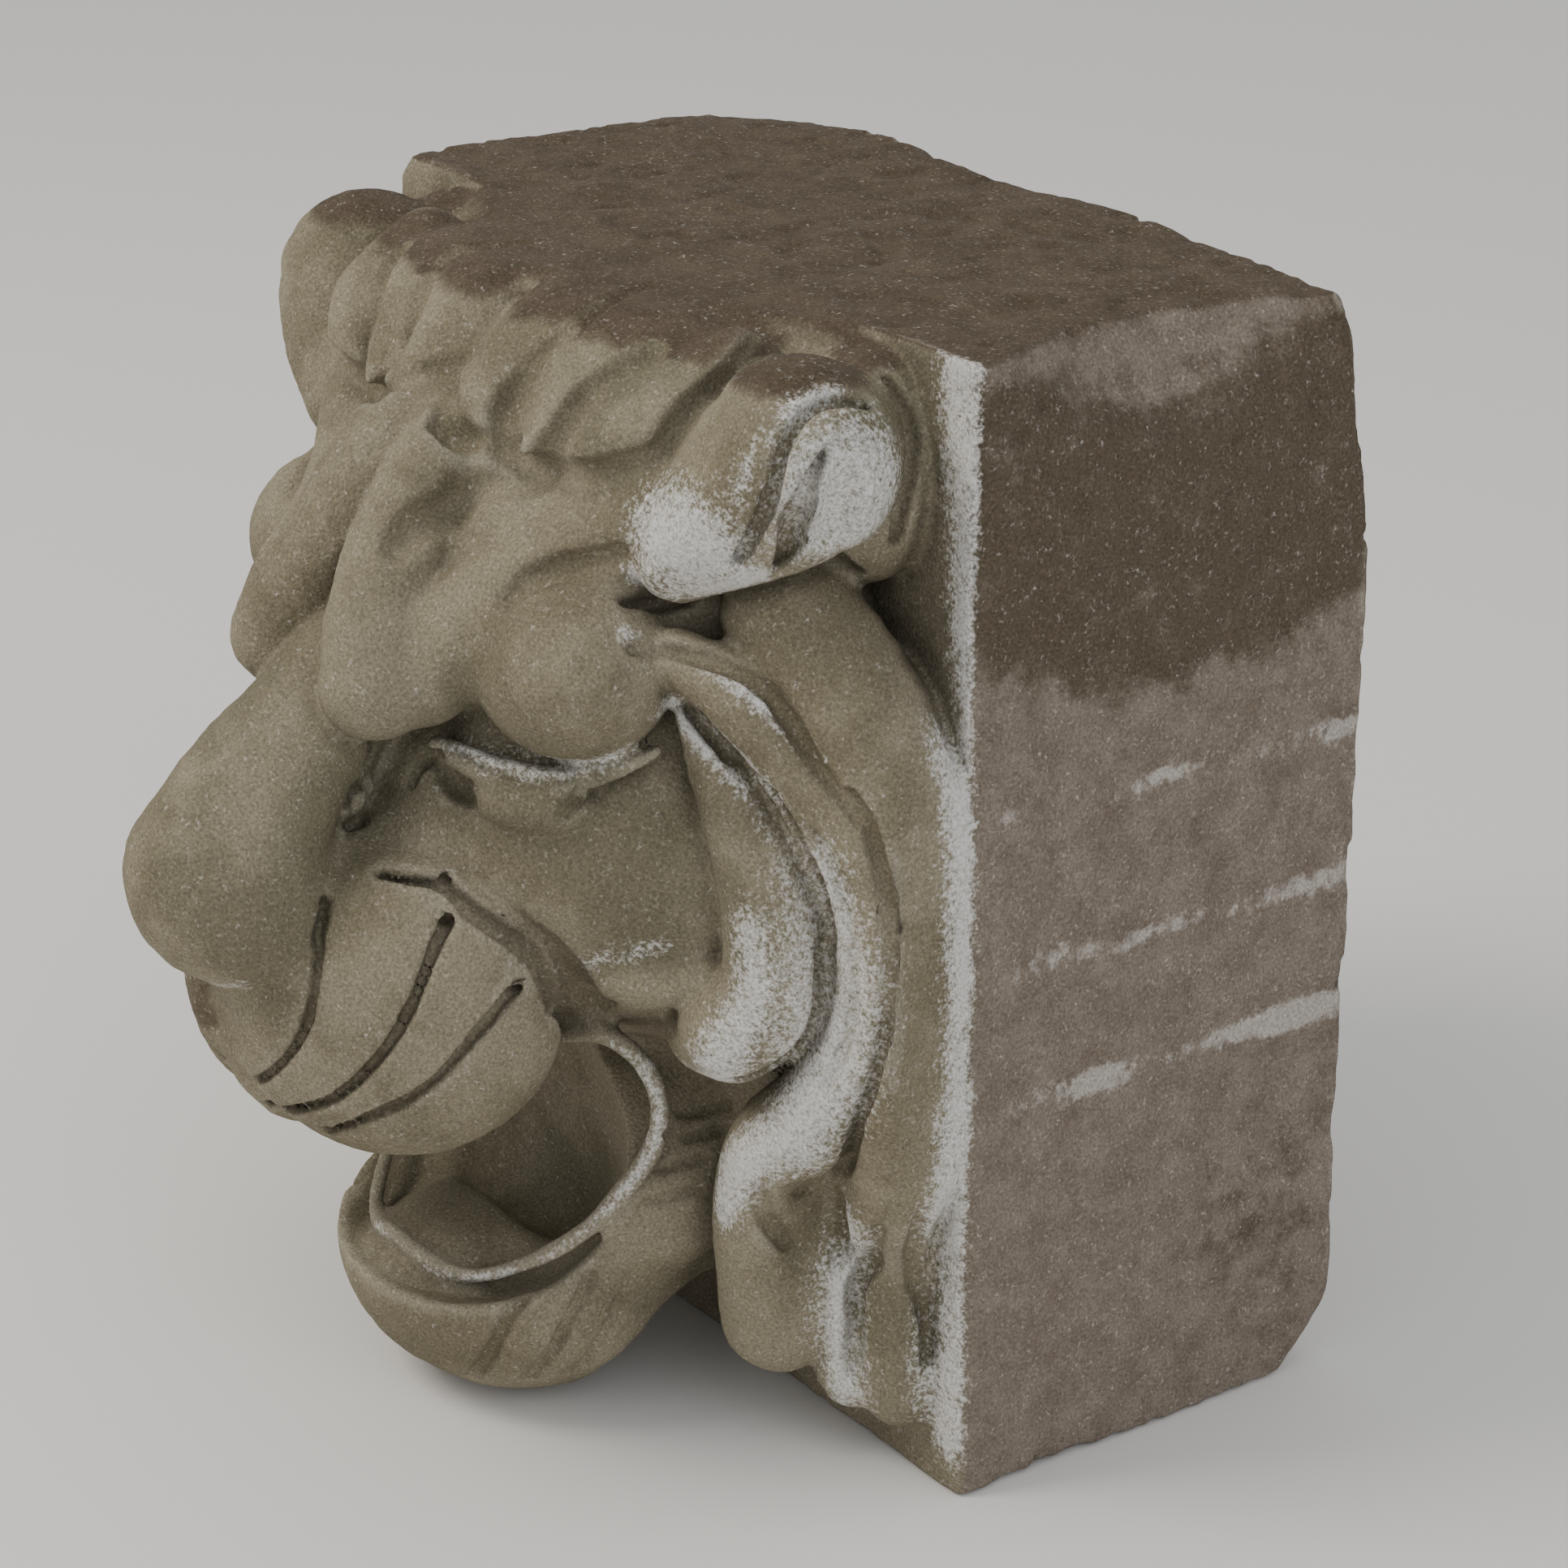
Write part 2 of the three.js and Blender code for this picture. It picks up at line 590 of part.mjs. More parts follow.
/** Joins the ends of the edges that matter least until only the wanted number of facets is left. */
function thinned({ vertices, triangles }, wanted) {
  const facets = triangles.map((t) => [...t]);
  const around = vertices.map(() => new Set());
  const deviation = vertices.map(() => new Deviation());
  facets.forEach((facet, f) => {
    const normal = facetNormal(...facet.map((v) => vertices[v]));
    const area = normal.length();
    normal.normalize();
    for (const v of facet) {
      around[v].add(f);
      deviation[v].addPlane(normal, -normal.dot(vertices[facet[0]]), area);
    }
  });
  const version = vertices.map(() => 0);
  const queue = new CheapestFirst();
  const neighbours = (v) => {
    const found = new Set();
    for (const f of around[v]) {
      facets[f].forEach((other) => found.add(other));
    }
    found.delete(v);
    return found;
  };
  const propose = (a, b) => {
    const both = deviation[a].plus(deviation[b]);
    const halfway = vertices[a].clone().lerp(vertices[b], 0.5);
    const reach = vertices[a].distanceTo(vertices[b]);
    let point = both.best();
    if (point === null || point.distanceTo(halfway) > reach) {
      point = [vertices[a], vertices[b], halfway].reduce((m, p) => (both.at(p) < both.at(m) ? p : m)).clone();
    }
    queue.push({ cost: both.at(point) + 1e-3 * reach * reach, a, b, point, stamp: version[a] + version[b] });
  };
  vertices.forEach((_, a) => neighbours(a).forEach((b) => b > a && propose(a, b)));
  const keepsShape = (v, partner, point) => [...around[v]].every((f) => {
    if (facets[f].includes(partner)) {
      return true;
    }
    const old = facetNormal(...facets[f].map((u) => vertices[u]));
    const moved = facetNormal(...facets[f].map((u) => (u === v ? point : vertices[u])));
    return moved.dot(old) > 0.3 * moved.length() * old.length() && moved.length() > 0.5;
  });
  let left = facets.length;
  while (left > wanted && queue.entries.length > 0) {
    const { a, b, point, stamp } = queue.pop();
    if (around[a] === null || around[b] === null || stamp !== version[a] + version[b]) {
      continue;
    }
    const nearB = neighbours(b);
    const shared = [...neighbours(a)].filter((v) => nearB.has(v));
    if (!nearB.has(a) || shared.length !== 2 || !keepsShape(a, b, point) || !keepsShape(b, a, point)) {
      continue;
    }
    for (const f of around[b]) {
      if (facets[f].includes(a)) {
        facets[f].forEach((v) => v !== b && around[v].delete(f));
        facets[f] = null;
        left -= 1;
      } else {
        facets[f] = facets[f].map((v) => (v === b ? a : v));
        around[a].add(f);
      }
    }
    around[b] = null;
    vertices[a].copy(point);
    deviation[a] = deviation[a].plus(deviation[b]);
    const rim = neighbours(a);
    version[a] += 1;
    rim.forEach((v) => propose(a, v));
  }
  return { vertices, triangles: facets.filter((facet) => facet !== null) };
}

// Solids that can be joined and cut

/** The solid of a closed geometry. */
function solidOf(geometry) {
  const bare = geometry.clone();
  bare.deleteAttribute("normal");
  bare.deleteAttribute("uv");
  const merged = mergeVertices(bare, 1e-4);
  return new wasm.Manifold(new wasm.Mesh({
    numProp: 3,
    vertProperties: Float32Array.from(merged.attributes.position.array),
    triVerts: Uint32Array.from(merged.index.array),
  }));
}

/** The geometry of a list of corners and the facets between them. */
function geometryOf(corners, facets) {
  const geometry = new THREE.BufferGeometry();
  geometry.setAttribute("position", new THREE.Float32BufferAttribute(corners.flatMap((c) => [...c]), 3));
  geometry.setIndex(facets.flat());
  return geometry;
}

/** The head in front of the block, rooted a little way into it and dressed flush with its planes. */
function headSolid() {
  const carving = carveHead();
  const across = BLOCK_WIDTH / 2 / DRAWN_HALF_WIDTH;
  const upward = BLOCK_HEIGHT / 2 / DRAWN_HALF_HEIGHT;
  const forward = HEAD_PROJECTION / DRAWN_PROJECTION;
  const field = (x, y, z) => Math.max(
    carving.at(x / across, (y + BLOCK_DEPTH) / forward, z / upward),
    Math.abs(x) - BLOCK_WIDTH / 2 + DRESSING,
    Math.abs(z) - BLOCK_HEIGHT / 2 + DRESSING,
    y + BLOCK_DEPTH - HEAD_ROOT,
  );
  const margin = 2 * GRID_STEP;
  const front = -BLOCK_DEPTH - HEAD_PROJECTION;
  const low = [-BLOCK_WIDTH / 2 - margin, front - margin, -BLOCK_HEIGHT / 2 - margin];
  const high = [BLOCK_WIDTH / 2 + margin, -BLOCK_DEPTH + HEAD_ROOT + margin, BLOCK_HEIGHT / 2 + margin];
  const skin = skinOf(field, low, high, GRID_STEP, -BLOCK_DEPTH);
  const { vertices, triangles } = thinned(skin, HEAD_FACETS);
  return solidOf(geometryOf(vertices, triangles).toNonIndexed());
}

// Wear and damage on the block. Chips are cut by bodies that stand a little out of the stone.
const CLEAR = 1;

/** A closed body from its corners and facets, turned to face outward. */
function bodyOf(corners, facets) {
  const points = corners.map((corner) => new THREE.Vector3(...corner));
  const share = ([p, q, r]) => points[p].dot(points[q].clone().cross(points[r]));
  const volume = facets.reduce((sum, facet) => sum + share(facet), 0);
  const outward = volume > 0 ? facets : facets.map(([p, q, r]) => [p, r, q]);
  return solidOf(geometryOf(corners, outward).toNonIndexed());
}

/**
 * A long chip along an edge. place(along, a, b) gives the point that lies a and b inward from the two faces
 * beside the edge; the chip runs between the ends, and each stop is [along, width on one face, on the other].
 */
function wornEdge(place, from, to, stops) {
  const corners = [place(from, -CLEAR, -CLEAR)];
  for (const [along, first, second] of stops) {
    corners.push(place(along, first, -CLEAR), place(along, -CLEAR, -CLEAR), place(along, -CLEAR, second));
  }
  corners.push(place(to, -CLEAR, -CLEAR));
  const last = corners.length - 1;
  const facets = [];
  for (const [p, q] of [[1, 2], [2, 3], [3, 1]]) {
    facets.push([0, q, p], [last, last - 4 + p, last - 4 + q]);
    for (let stop = 0; stop + 1 < stops.length; stop += 1) {
      const here = 3 * stop;
      facets.push([here + p, here + q, here + q + 3], [here + p, here + q + 3, here + p + 3]);
    }
  }
  return bodyOf(corners, facets);
}

/** A broken corner: place(a, b, c) gives the point a, b and c inward from the three faces that meet there. */
function brokenCorner(place, a, b, c) {
  const ends = [[-CLEAR, -CLEAR, -CLEAR], [a, -CLEAR, -CLEAR], [-CLEAR, b, -CLEAR], [-CLEAR, -CLEAR, c]];
  const corners = ends.map((inward) => place(...inward));
  return bodyOf(corners, [[0, 1, 2], [0, 2, 3], [0, 3, 1], [1, 3, 2]]);
}

/** Everything that wear has taken off the block: first the broken corners, then the worn edges. */
function wear() {
  const side = BLOCK_WIDTH / 2;
  const top = BLOCK_HEIGHT / 2;
  const front = -BLOCK_DEPTH;
  return [
    // back left corner of the top bed
    brokenCorner((x, y, z) => [x - side, -y, top - z], 118, 83, 14),
    // back right corner of the top bed
    brokenCorner((x, y, z) => [side - x, -y, top - z], 280, 24, 130),
    // back right corner of the under bed
    brokenCorner((x, y, z) => [side - x, -y, z - top], 62, 34, 42),
    // front left corner of the top bed
    brokenCorner((x, y, z) => [x - side, front + y, top - z], 16, 14, 16),
    // back edge of the top bed, left of its middle
    wornEdge((x, y, z) => [x - side, -y, top - z], 130, 340, [[170, 14, 9], [230, 20, 14], [290, 12, 8]]),
    // right edge of the top bed, rolled off by weather
    wornEdge((y, x, z) => [side - x, front + y, top - z], 6, BLOCK_DEPTH - 14,
      [[35, 14, 24], [75, 30, 46], [125, 36, 56], [185, 22, 44]]),
    // right front arris, beside the ear
    wornEdge((z, x, y) => [side - x, front + y, top - z], 24, 262, [[55, 4, 12], [120, 6, 18], [190, 5, 14]]),
    // right front arris, at the foot
    wornEdge((z, x, y) => [side - x, front + y, z - top], 60, 170, [[90, 3, 6], [130, 5, 8]]),
    // left back edge
    wornEdge((z, x, y) => [x - side, -y, z - top], 110, 350, [[160, 8, 12], [230, 14, 18], [300, 7, 9]]),
    // left edge of the top bed
    wornEdge((y, x, z) => [x - side, front + y, top - z], 60, BLOCK_DEPTH - 90, [[90, 6, 9], [120, 8, 10]]),
  ];
}

/** The square block with its worn edges. */
function blockSolid() {
  const box = new THREE.BoxGeometry(BLOCK_WIDTH, BLOCK_DEPTH, BLOCK_HEIGHT);
  box.translate(0, -BLOCK_DEPTH / 2, 0);
  let block = solidOf(box);
  for (const chip of wear()) {
    block = block.subtract(chip);
  }
  return block;
}

/** The corbel: block and head in one stone. */
function corbel() {
  const stone = blockSolid().add(headSolid()).getMesh();
  const geometry = new THREE.BufferGeometry();
  geometry.setAttribute("position", new THREE.BufferAttribute(stone.vertProperties, 3));
  geometry.setIndex(new THREE.BufferAttribute(stone.triVerts, 1));
  geometry.computeVertexNormals();
  const finish = { color: STONE_COLOUR, roughness: STONE_ROUGHNESS, metalness: 0 };
  const material = new THREE.MeshStandardMaterial(finish);
  const mesh = new THREE.Mesh(geometry, material);
  mesh.name = "lion_head_corbel";
  return mesh;
}

const part = new THREE.Group();
part.add(corbel());

export default part;
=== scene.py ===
"""Weathered sandstone corbel carved as a roaring lion's head, dressed and lit for the photograph's view.

Lengths in the carving are millimetres, measured from the middle of the front face of the block: x to the
side, y minus towards the nose and z up. The meshes are turned to metres in the frame of the CAD model.
"""

import logging
import math
from abc import ABC, abstractmethod
from concurrent.futures import ThreadPoolExecutor
from dataclasses import dataclass, field
from enum import Enum
from typing import Callable, Iterable, Sequence

import bpy
import numpy as np
from mathutils import Matrix, Vector


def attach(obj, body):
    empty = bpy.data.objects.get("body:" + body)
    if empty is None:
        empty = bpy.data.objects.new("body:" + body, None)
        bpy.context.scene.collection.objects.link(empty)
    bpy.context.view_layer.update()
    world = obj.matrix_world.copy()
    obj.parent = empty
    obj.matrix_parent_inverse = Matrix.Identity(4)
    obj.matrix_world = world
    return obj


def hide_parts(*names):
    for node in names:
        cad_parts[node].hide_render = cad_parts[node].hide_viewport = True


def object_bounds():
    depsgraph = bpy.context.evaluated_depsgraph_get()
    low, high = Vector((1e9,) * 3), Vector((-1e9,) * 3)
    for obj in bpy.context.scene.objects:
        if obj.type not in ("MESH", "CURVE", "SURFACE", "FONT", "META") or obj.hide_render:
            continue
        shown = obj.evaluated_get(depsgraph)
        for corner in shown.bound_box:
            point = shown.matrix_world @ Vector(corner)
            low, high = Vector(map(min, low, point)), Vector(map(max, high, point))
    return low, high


log = logging.getLogger("corbel")

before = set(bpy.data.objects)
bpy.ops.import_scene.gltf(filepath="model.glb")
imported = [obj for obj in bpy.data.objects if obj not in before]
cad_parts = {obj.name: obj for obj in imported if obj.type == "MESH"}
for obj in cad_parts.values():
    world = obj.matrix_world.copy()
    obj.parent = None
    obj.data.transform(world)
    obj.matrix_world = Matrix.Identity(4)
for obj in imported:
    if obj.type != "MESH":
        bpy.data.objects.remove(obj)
CAD_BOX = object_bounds()

NODE = "lion_head_corbel"
MILLIMETRE = 0.001
# a distance in millimetres past everything there is
FAR = 1000.0
# millimetres over which the two mirrored halves run together at x = 0
FOLD = 3.0
# threads that sample a field side by side
WORKERS = 4

Point = tuple[float, float, float]
Field = Callable[[np.ndarray], np.ndarray]


class Way(Enum):
    """What a stroke of the chisel does to the stone."""

    ADD = 1
    CUT = -1


# Forms


class Form(ABC):
    """A rounded form given by the distance to its skin, below zero inside."""

    middle: np.ndarray
    reach: float

    @abstractmethod
    def distance(self, points: np.ndarray) -> np.ndarray:
        """Gives the distance of each point to the skin.

        Args:
            points: places in millimetres, one row each.

        Returns:
            One signed distance for each row.
        """


class Lump(Form):
    """An egg shape with three half axes, turned about the vertical."""

    def __init__(self, middle: Point, half_axes: Point, turn: float = 0.0) -> None:
        """Makes the egg.

        Args:
            middle: where its middle lies.
            half_axes: its half lengths along its own three axes.
            turn: the angle it is turned by, in degrees.
        """
        self.middle = np.array(middle, dtype=np.float32)
        self.half_axes = np.array(half_axes, dtype=np.float32)
        self.reach = float(max(half_axes))
        angle = math.radians(turn)
        self.axes = np.array(
            [[math.cos(angle), math.sin(angle), 0], [-math.sin(angle), math.cos(angle), 0], [0, 0, 1]],
            dtype=np.float32,
        )

    def distance(self, points: np.ndarray) -> np.ndarray:
        """Gives the distance of each point to the egg's skin.

        Args:
            points: places in millimetres, one row each.

        Returns:
            One signed distance for each row, close to true near the skin.
        """
        local = (points - self.middle) @ self.axes.T / self.half_axes
        size = np.sqrt((local**2).sum(axis=1))
        slope = np.sqrt(((local / self.half_axes) ** 2).sum(axis=1))
        return size * (size - 1) / np.maximum(slope, 1e-6)


class Roll(Form):
    """A round roll along a smooth path, with a radius at each point of the path."""

    def __init__(self, path: Sequence[Point], radii: Sequence[float], stops: int = 4) -> None:
        """Makes the roll.

        Args:
            path: places that its middle line runs through.
            radii: its radii along the line, spread evenly over it.
            stops: straight stretches between each two places.
        """
        ends = np.array(path, dtype=float)
        line = smooth_line(ends, stops)
        widths = np.interp(np.linspace(0, len(radii) - 1, len(line)), range(len(radii)), radii)
        self.stops = line.astype(np.float32)
        self.radii = widths.astype(np.float32)
        low = (line - widths[:, None]).min(axis=0)
        high = (line + widths[:, None]).max(axis=0)
        self.middle = ((low + high) / 2).astype(np.float32)
        self.reach = float(np.linalg.norm(high - low) / 2)

    def distance(self, points: np.ndarray) -> np.ndarray:
        """Gives the distance of each point to the roll's skin.

        Args:
            points: places in millimetres, one row each.

        Returns:
            One signed distance for each row.
        """
        nearest = np.full(len(points), np.float32(np.inf))
        for start, end, thin, thick in zip(self.stops, self.stops[1:], self.radii, self.radii[1:]):
            run = end - start
            share = np.clip((points - start) @ run / (run @ run), 0, 1)
            gap = points - start - share[:, None] * run
            length = np.sqrt((gap**2).sum(axis=1))
            nearest = np.minimum(nearest, length - thin - (thick - thin) * share)
        return nearest


def smooth_line(ends: np.ndarray, stops: int) -> np.ndarray:
    """Runs a centripetal Catmull-Rom curve through points.

    Args:
        ends: the points, one row each.
        stops: stretches of the curve between two of them.

    Returns:
        Points on the curve, the first and last of them the first and last given.
    """
    first = 2 * ends[0] - ends[1]
    last = 2 * ends[-1] - ends[-2]
    knots = np.vstack([first, ends, last])
    line = [ends[0]]
    for p0, p1, p2, p3 in zip(knots, knots[1:], knots[2:], knots[3:]):
        t0, t1, t2 = (max(np.linalg.norm(b - a), 1e-6) ** 0.5 for a, b in ((p0, p1), (p1, p2), (p2, p3)))
        start = ((p1 - p0) / t0 - (p2 - p0) / (t0 + t1) + (p2 - p1) / t1) * t1
        finish = ((p2 - p1) / t1 - (p3 - p1) / (t1 + t2) + (p3 - p2) / t2) * t1
        for step in range(1, stops + 1):
            t = step / stops
            line.append(
                (2 * t**3 - 3 * t**2 + 1) * p1 + (t**3 - 2 * t**2 + t) * start
                + (3 * t**2 - 2 * t**3) * p2 + (t**3 - t**2) * finish
            )
    return np.array(line)


@dataclass(frozen=True)
class Stroke:
    """One form added to the stone or cut out of it, blended over a width."""

    form: Form
    blend: float
    way: Way


@dataclass
class Carving:
    """Strokes in the order in which they lie over one another, the same on both sides of x = 0."""

    strokes: list[Stroke] = field(default_factory=list)

    def add(self, form: Form, blend: float) -> None:
        """Adds a form to the stone."""
        self.strokes.append(Stroke(form, blend, Way.ADD))

    def cut(self, form: Form, blend: float) -> None:
        """Cuts a form out of the stone."""
        self.strokes.append(Stroke(form, blend, Way.CUT))

    def groove(
        self, path: Sequence[Point], radii: Sequence[float], depth: float, blend: float = 2.0
    ) -> None:
        """Cuts a narrow groove into the stone as it stands.

        Args:
            path: places on the skin or near it along the groove.
            radii: half its width at each of them.
            depth: how far its floor lies under the skin.
            blend: how softly its edges roll in.
        """
        places = smooth_line(np.array(path, dtype=float), 2)
        for _ in range(3):
            places -= self.outward(places) * self.distance(places)[:, None]
        outward = self.outward(places)
        widths = np.interp(np.linspace(0, len(radii) - 1, len(places)), range(len(radii)), radii)
        for share in (0.2, 1.0):
            sunk = places - outward * depth * share
            self.cut(Roll([tuple(place) for place in sunk], list(widths * (1 - 0.25 * share)), 1), blend)

    def outward(self, points: np.ndarray) -> np.ndarray:
        """Gives the direction out of the stone at each point."""
        slopes = [
            self.distance(points + np.eye(3)[axis] * 2.0) - self.distance(points - np.eye(3)[axis] * 2.0)
            for axis in range(3)
        ]
        return np.stack(slopes, axis=1) / np.linalg.norm(slopes, axis=0)[:, None]

    def distance(self, points: np.ndarray) -> np.ndarray:
        """Gives the distance of each point to the carved skin, below zero inside.

        Args:
            points: places in millimetres, one row each.

        Returns:
            One signed distance for each row, the same on both sides.
        """
        folded = points.astype(np.float32)
        folded[:, 0] = np.sqrt(folded[:, 0] ** 2 + FOLD**2)
        low, high = folded.min(axis=0), folded.max(axis=0)
        skin = np.full(len(folded), np.float32(FAR))
        for stroke in self.strokes:
            form, blend = stroke.form, stroke.blend
            outside = np.linalg.norm(np.maximum(0, np.maximum(low - form.middle, form.middle - high)))
            old = skin if stroke.way is Way.ADD else -skin
            if outside - form.reach > old.max() + blend:
                continue
            gap = np.sqrt(((folded - form.middle) ** 2).sum(axis=1)) - form.reach
            near = np.nonzero(gap < old + blend)[0]
            if len(near) == 0:
                continue
            distance = form.distance(folded[near])
            here = old[near]
            overlap = np.maximum(blend - np.abs(here - distance), 0) / blend
            joined = np.minimum(here, distance) - overlap**2 * blend / 4
            skin[near] = joined * stroke.way.value
        return skin


# The carved head


@dataclass(frozen=True)
class LionHead:
    """The lion's head in front of the block, given as the strokes that carve it."""

    width: float = 526.0
    height: float = 600.0
    projection: float = 318.0

    def carve(self) -> Carving:
        """Makes every stroke, from the great masses to the fine grooves.

        Returns:
            The carving of the whole head.
        """
        head = Carving()
        for part in (
            self.core, self.muzzle, self.jaw, self.cheek_hollow, self.whisker_pad, self.brow, self.eye,
            self.tufts, self.ear, self.mane, self.lobes,
        ):
            part(head)
        log.info("lion's head: %d strokes", len(head.strokes))
        return head

    def core(self, head: Carving) -> None:
        """Lays the mass that the mane and the forehead are cut from.

        Args:
            head: the carving that its strokes join.
        """
        head.add(Lump((0, 27, -10), (244, 90, 280)), 10)
        head.add(Roll([(0, -10, 272), (110, -6, 272), (190, 12, 268)], [36, 34, 26]), 8)
        head.add(Lump((0, -14, 150), (168, 158, 150)), 20)
        head.add(Lump((0, -10, 30), (186, 182, 140)), 20)

    def muzzle(self, head: Carving) -> None:
        """Adds the bridge of the nose, its broad tip and the muzzle behind it.

        Args:
            head: the carving that its strokes join.
        """
        head.add(Roll([(0, -168, 128), (0, -206, 92), (0, -248, 52), (0, -268, 28)], [32, 36, 42, 44]), 16)
        head.add(Lump((0, -256, 12), (62, 52, 48)), 14)
        head.add(Roll([(24, -206, 96), (28, -234, 70), (30, -252, 44)], [16, 22, 24]), 12)
        head.add(Lump((0, -168, -25), (95, 100, 80)), 14)
        head.add(Lump((0, -214, -60), (40, 54, 68)), 12)

    def jaw(self, head: Carving) -> None:
        """Adds the lower jaw, opens the mouth and gives it a floor, a thin lip and the creases of the beard.

        Args:
            head: the carving that its strokes join.
        """
        head.add(Lump((0, -33, -180), (136, 112, 92)), 14)
        head.add(Lump((0, -102, -230), (106, 92, 74)), 14)
        head.cut(Roll([(0, -23, -305), (90, -23, -305), (150, -10, -305)], [76, 80, 84]), 10)
        head.cut(Lump((140, -46, -256), (44, 56, 60)), 8)
        head.cut(Lump((0, -150, -146), (132, 84, 88)), 6)
        head.add(Lump((0, -114, -228), (60, 66, 30)), 16)
        head.cut(Lump((20, -94, -186), (44, 26, 34)), 8)
        lip = [
            (84, -120, -72), (106, -110, -67), (120, -97, -80), (125, -90, -100), (122, -90, -126),
            (108, -102, -158), (92, -118, -184), (72, -139, -204), (48, -160, -214), (20, -172, -210),
            (0, -174, -206),
        ]
        head.add(Roll(lip, [6, 6, 6, 6, 6, 6, 5, 5, 4.5, 4.5, 4.5]), 9)
        head.groove([(84, -148, -216), (75, -156, -236), (48, -157, -273)], [2.3, 2.6, 2.6], 2.5, 4)
        head.groove([(99, -116, -206), (95, -128, -227), (73, -140, -268)], [2.3, 2.6, 2.6], 2.5, 4)
        head.groove([(105, -102, -222), (101, -112, -243), (91, -119, -266)], [2.3, 2.5, 2.5], 2, 4)
        # marks that the chisel left behind the mouth
        for start, end in (
            ((104, -62, -126), (118, -44, -122)), ((131, -84, -122), (118, -48, -134)),
            ((114, -82, -148), (122, -59, -145)), ((115, -90, -164), (126, -67, -159)),
        ):
            middle = tuple((a + b) / 2 for a, b in zip(start, end))
            head.groove([start, middle, end], [2.3, 2.5, 2.3], 1.4, 2)

    def cheek_hollow(self, head: Carving) -> None:
        """Cuts the dark hollow between cheek and jaw and leaves the small fold in it.

        Args:
            head: the carving that its strokes join.
        """
        hollow = [
            (100, -188, 16), (120, -162, -14), (136, -142, -38), (156, -120, -38), (176, -98, -14),
            (184, -90, 16),
        ]
        head.cut(Roll(hollow, [12, 14, 16, 16, 15, 7]), 6)
        head.add(Roll([(112, -118, -24), (134, -106, -28), (160, -86, -22)], [13, 15, 13]), 6)
        head.cut(Lump((108, -132, -48), (16, 26, 13)), 5)

    def whisker_pad(self, head: Carving) -> None:
        """Adds the whisker pad: four bands like fingers, parted by grooves, with a trench behind them.

        Args:
            head: the carving that its strokes join.
        """
        trench = [
            (62, -208, 33), (76, -198, 28), (88, -188, 20), (98, -178, 12), (106, -166, 4), (113, -154, -8),
            (116, -142, -24), (112, -130, -44),
        ]
        head.cut(Roll(trench, [3, 5, 8, 9, 10, 11, 12, 12]), 4)
        head.add(Lump((54, -200, -45), (50, 86, 82), -42), 2)
        head.groove(
            [(65, -211, 33), (76, -201, 31), (82, -186, 22), (99, -179, 17), (107, -168, 7), (110, -154, -8),
             (115, -147, -20), (114, -142, -33), (100, -128, -56)],
            [3, 3, 4, 5, 6, 7, 9, 10, 9], 7, 2,
        )
        first = [
            (55, -238, 21), (58, -240, 4), (61, -244, -15), (61, -250, -36), (56, -257, -52), (42, -258, -67),
            (18, -256, -84),
        ]
        head.groove(first, [2.4, 2.6, 2.5, 2.5, 2.5, 2.5, 2.4], 4.5, 1)
        second = [
            (83, -186, 26), (87, -189, 12), (93, -199, -1), (95, -208, -16), (92, -218, -37), (82, -228, -57),
            (67, -240, -77), (52, -251, -89), (9, -252, -107),
        ]
        head.groove(second, [3.4, 3, 2.8, 2.6, 2.6, 2.6, 2.6, 2.4, 2.3], 5, 1)
        third = [
            (110, -155, -8), (110, -163, -19), (111, -178, -32), (108, -192, -47), (101, -204, -63),
            (92, -220, -79), (77, -234, -92), (53, -243, -107),
        ]
        head.groove(third, [4, 3.4, 3, 2.7, 2.7, 2.6, 2.4, 2.3], 5, 1)
        head.cut(Roll([(30, -282, -38), (10, -282, -46), (14, -272, -66)], [9, 12, 7]), 4)

    def brow(self, head: Carving) -> None:
        """Adds two rolls down each side of the forehead, the furrow between them and the bulging lid.

        Args:
            head: the carving that its strokes join.
        """
        inner = [(22, -118, 246), (24, -148, 212), (28, -172, 178), (38, -190, 146), (45, -199, 121)]
        head.add(Roll(inner, [20, 26, 28, 29, 28]), 5)
        outer = [(152, -84, 222), (118, -102, 198), (88, -128, 174), (66, -158, 146), (58, -178, 124)]
        head.add(Roll(outer, [26, 30, 31, 30, 24]), 7)
        head.add(Lump((110, -126, 138), (57, 49, 49)), 9)
        head.groove([(43, -182, 188), (42, -170, 197), (43, -156, 204), (49, -142, 209), (62, -132, 215),
                     (78, -127, 219)], [2.4, 4, 5, 5, 4, 2.4], 3, 12)
        head.groove([(104, -161, 174), (110, -151, 184), (121, -139, 190), (136, -126, 196),
                     (158, -117, 204)], [3, 5, 5, 4, 2], 2, 6)

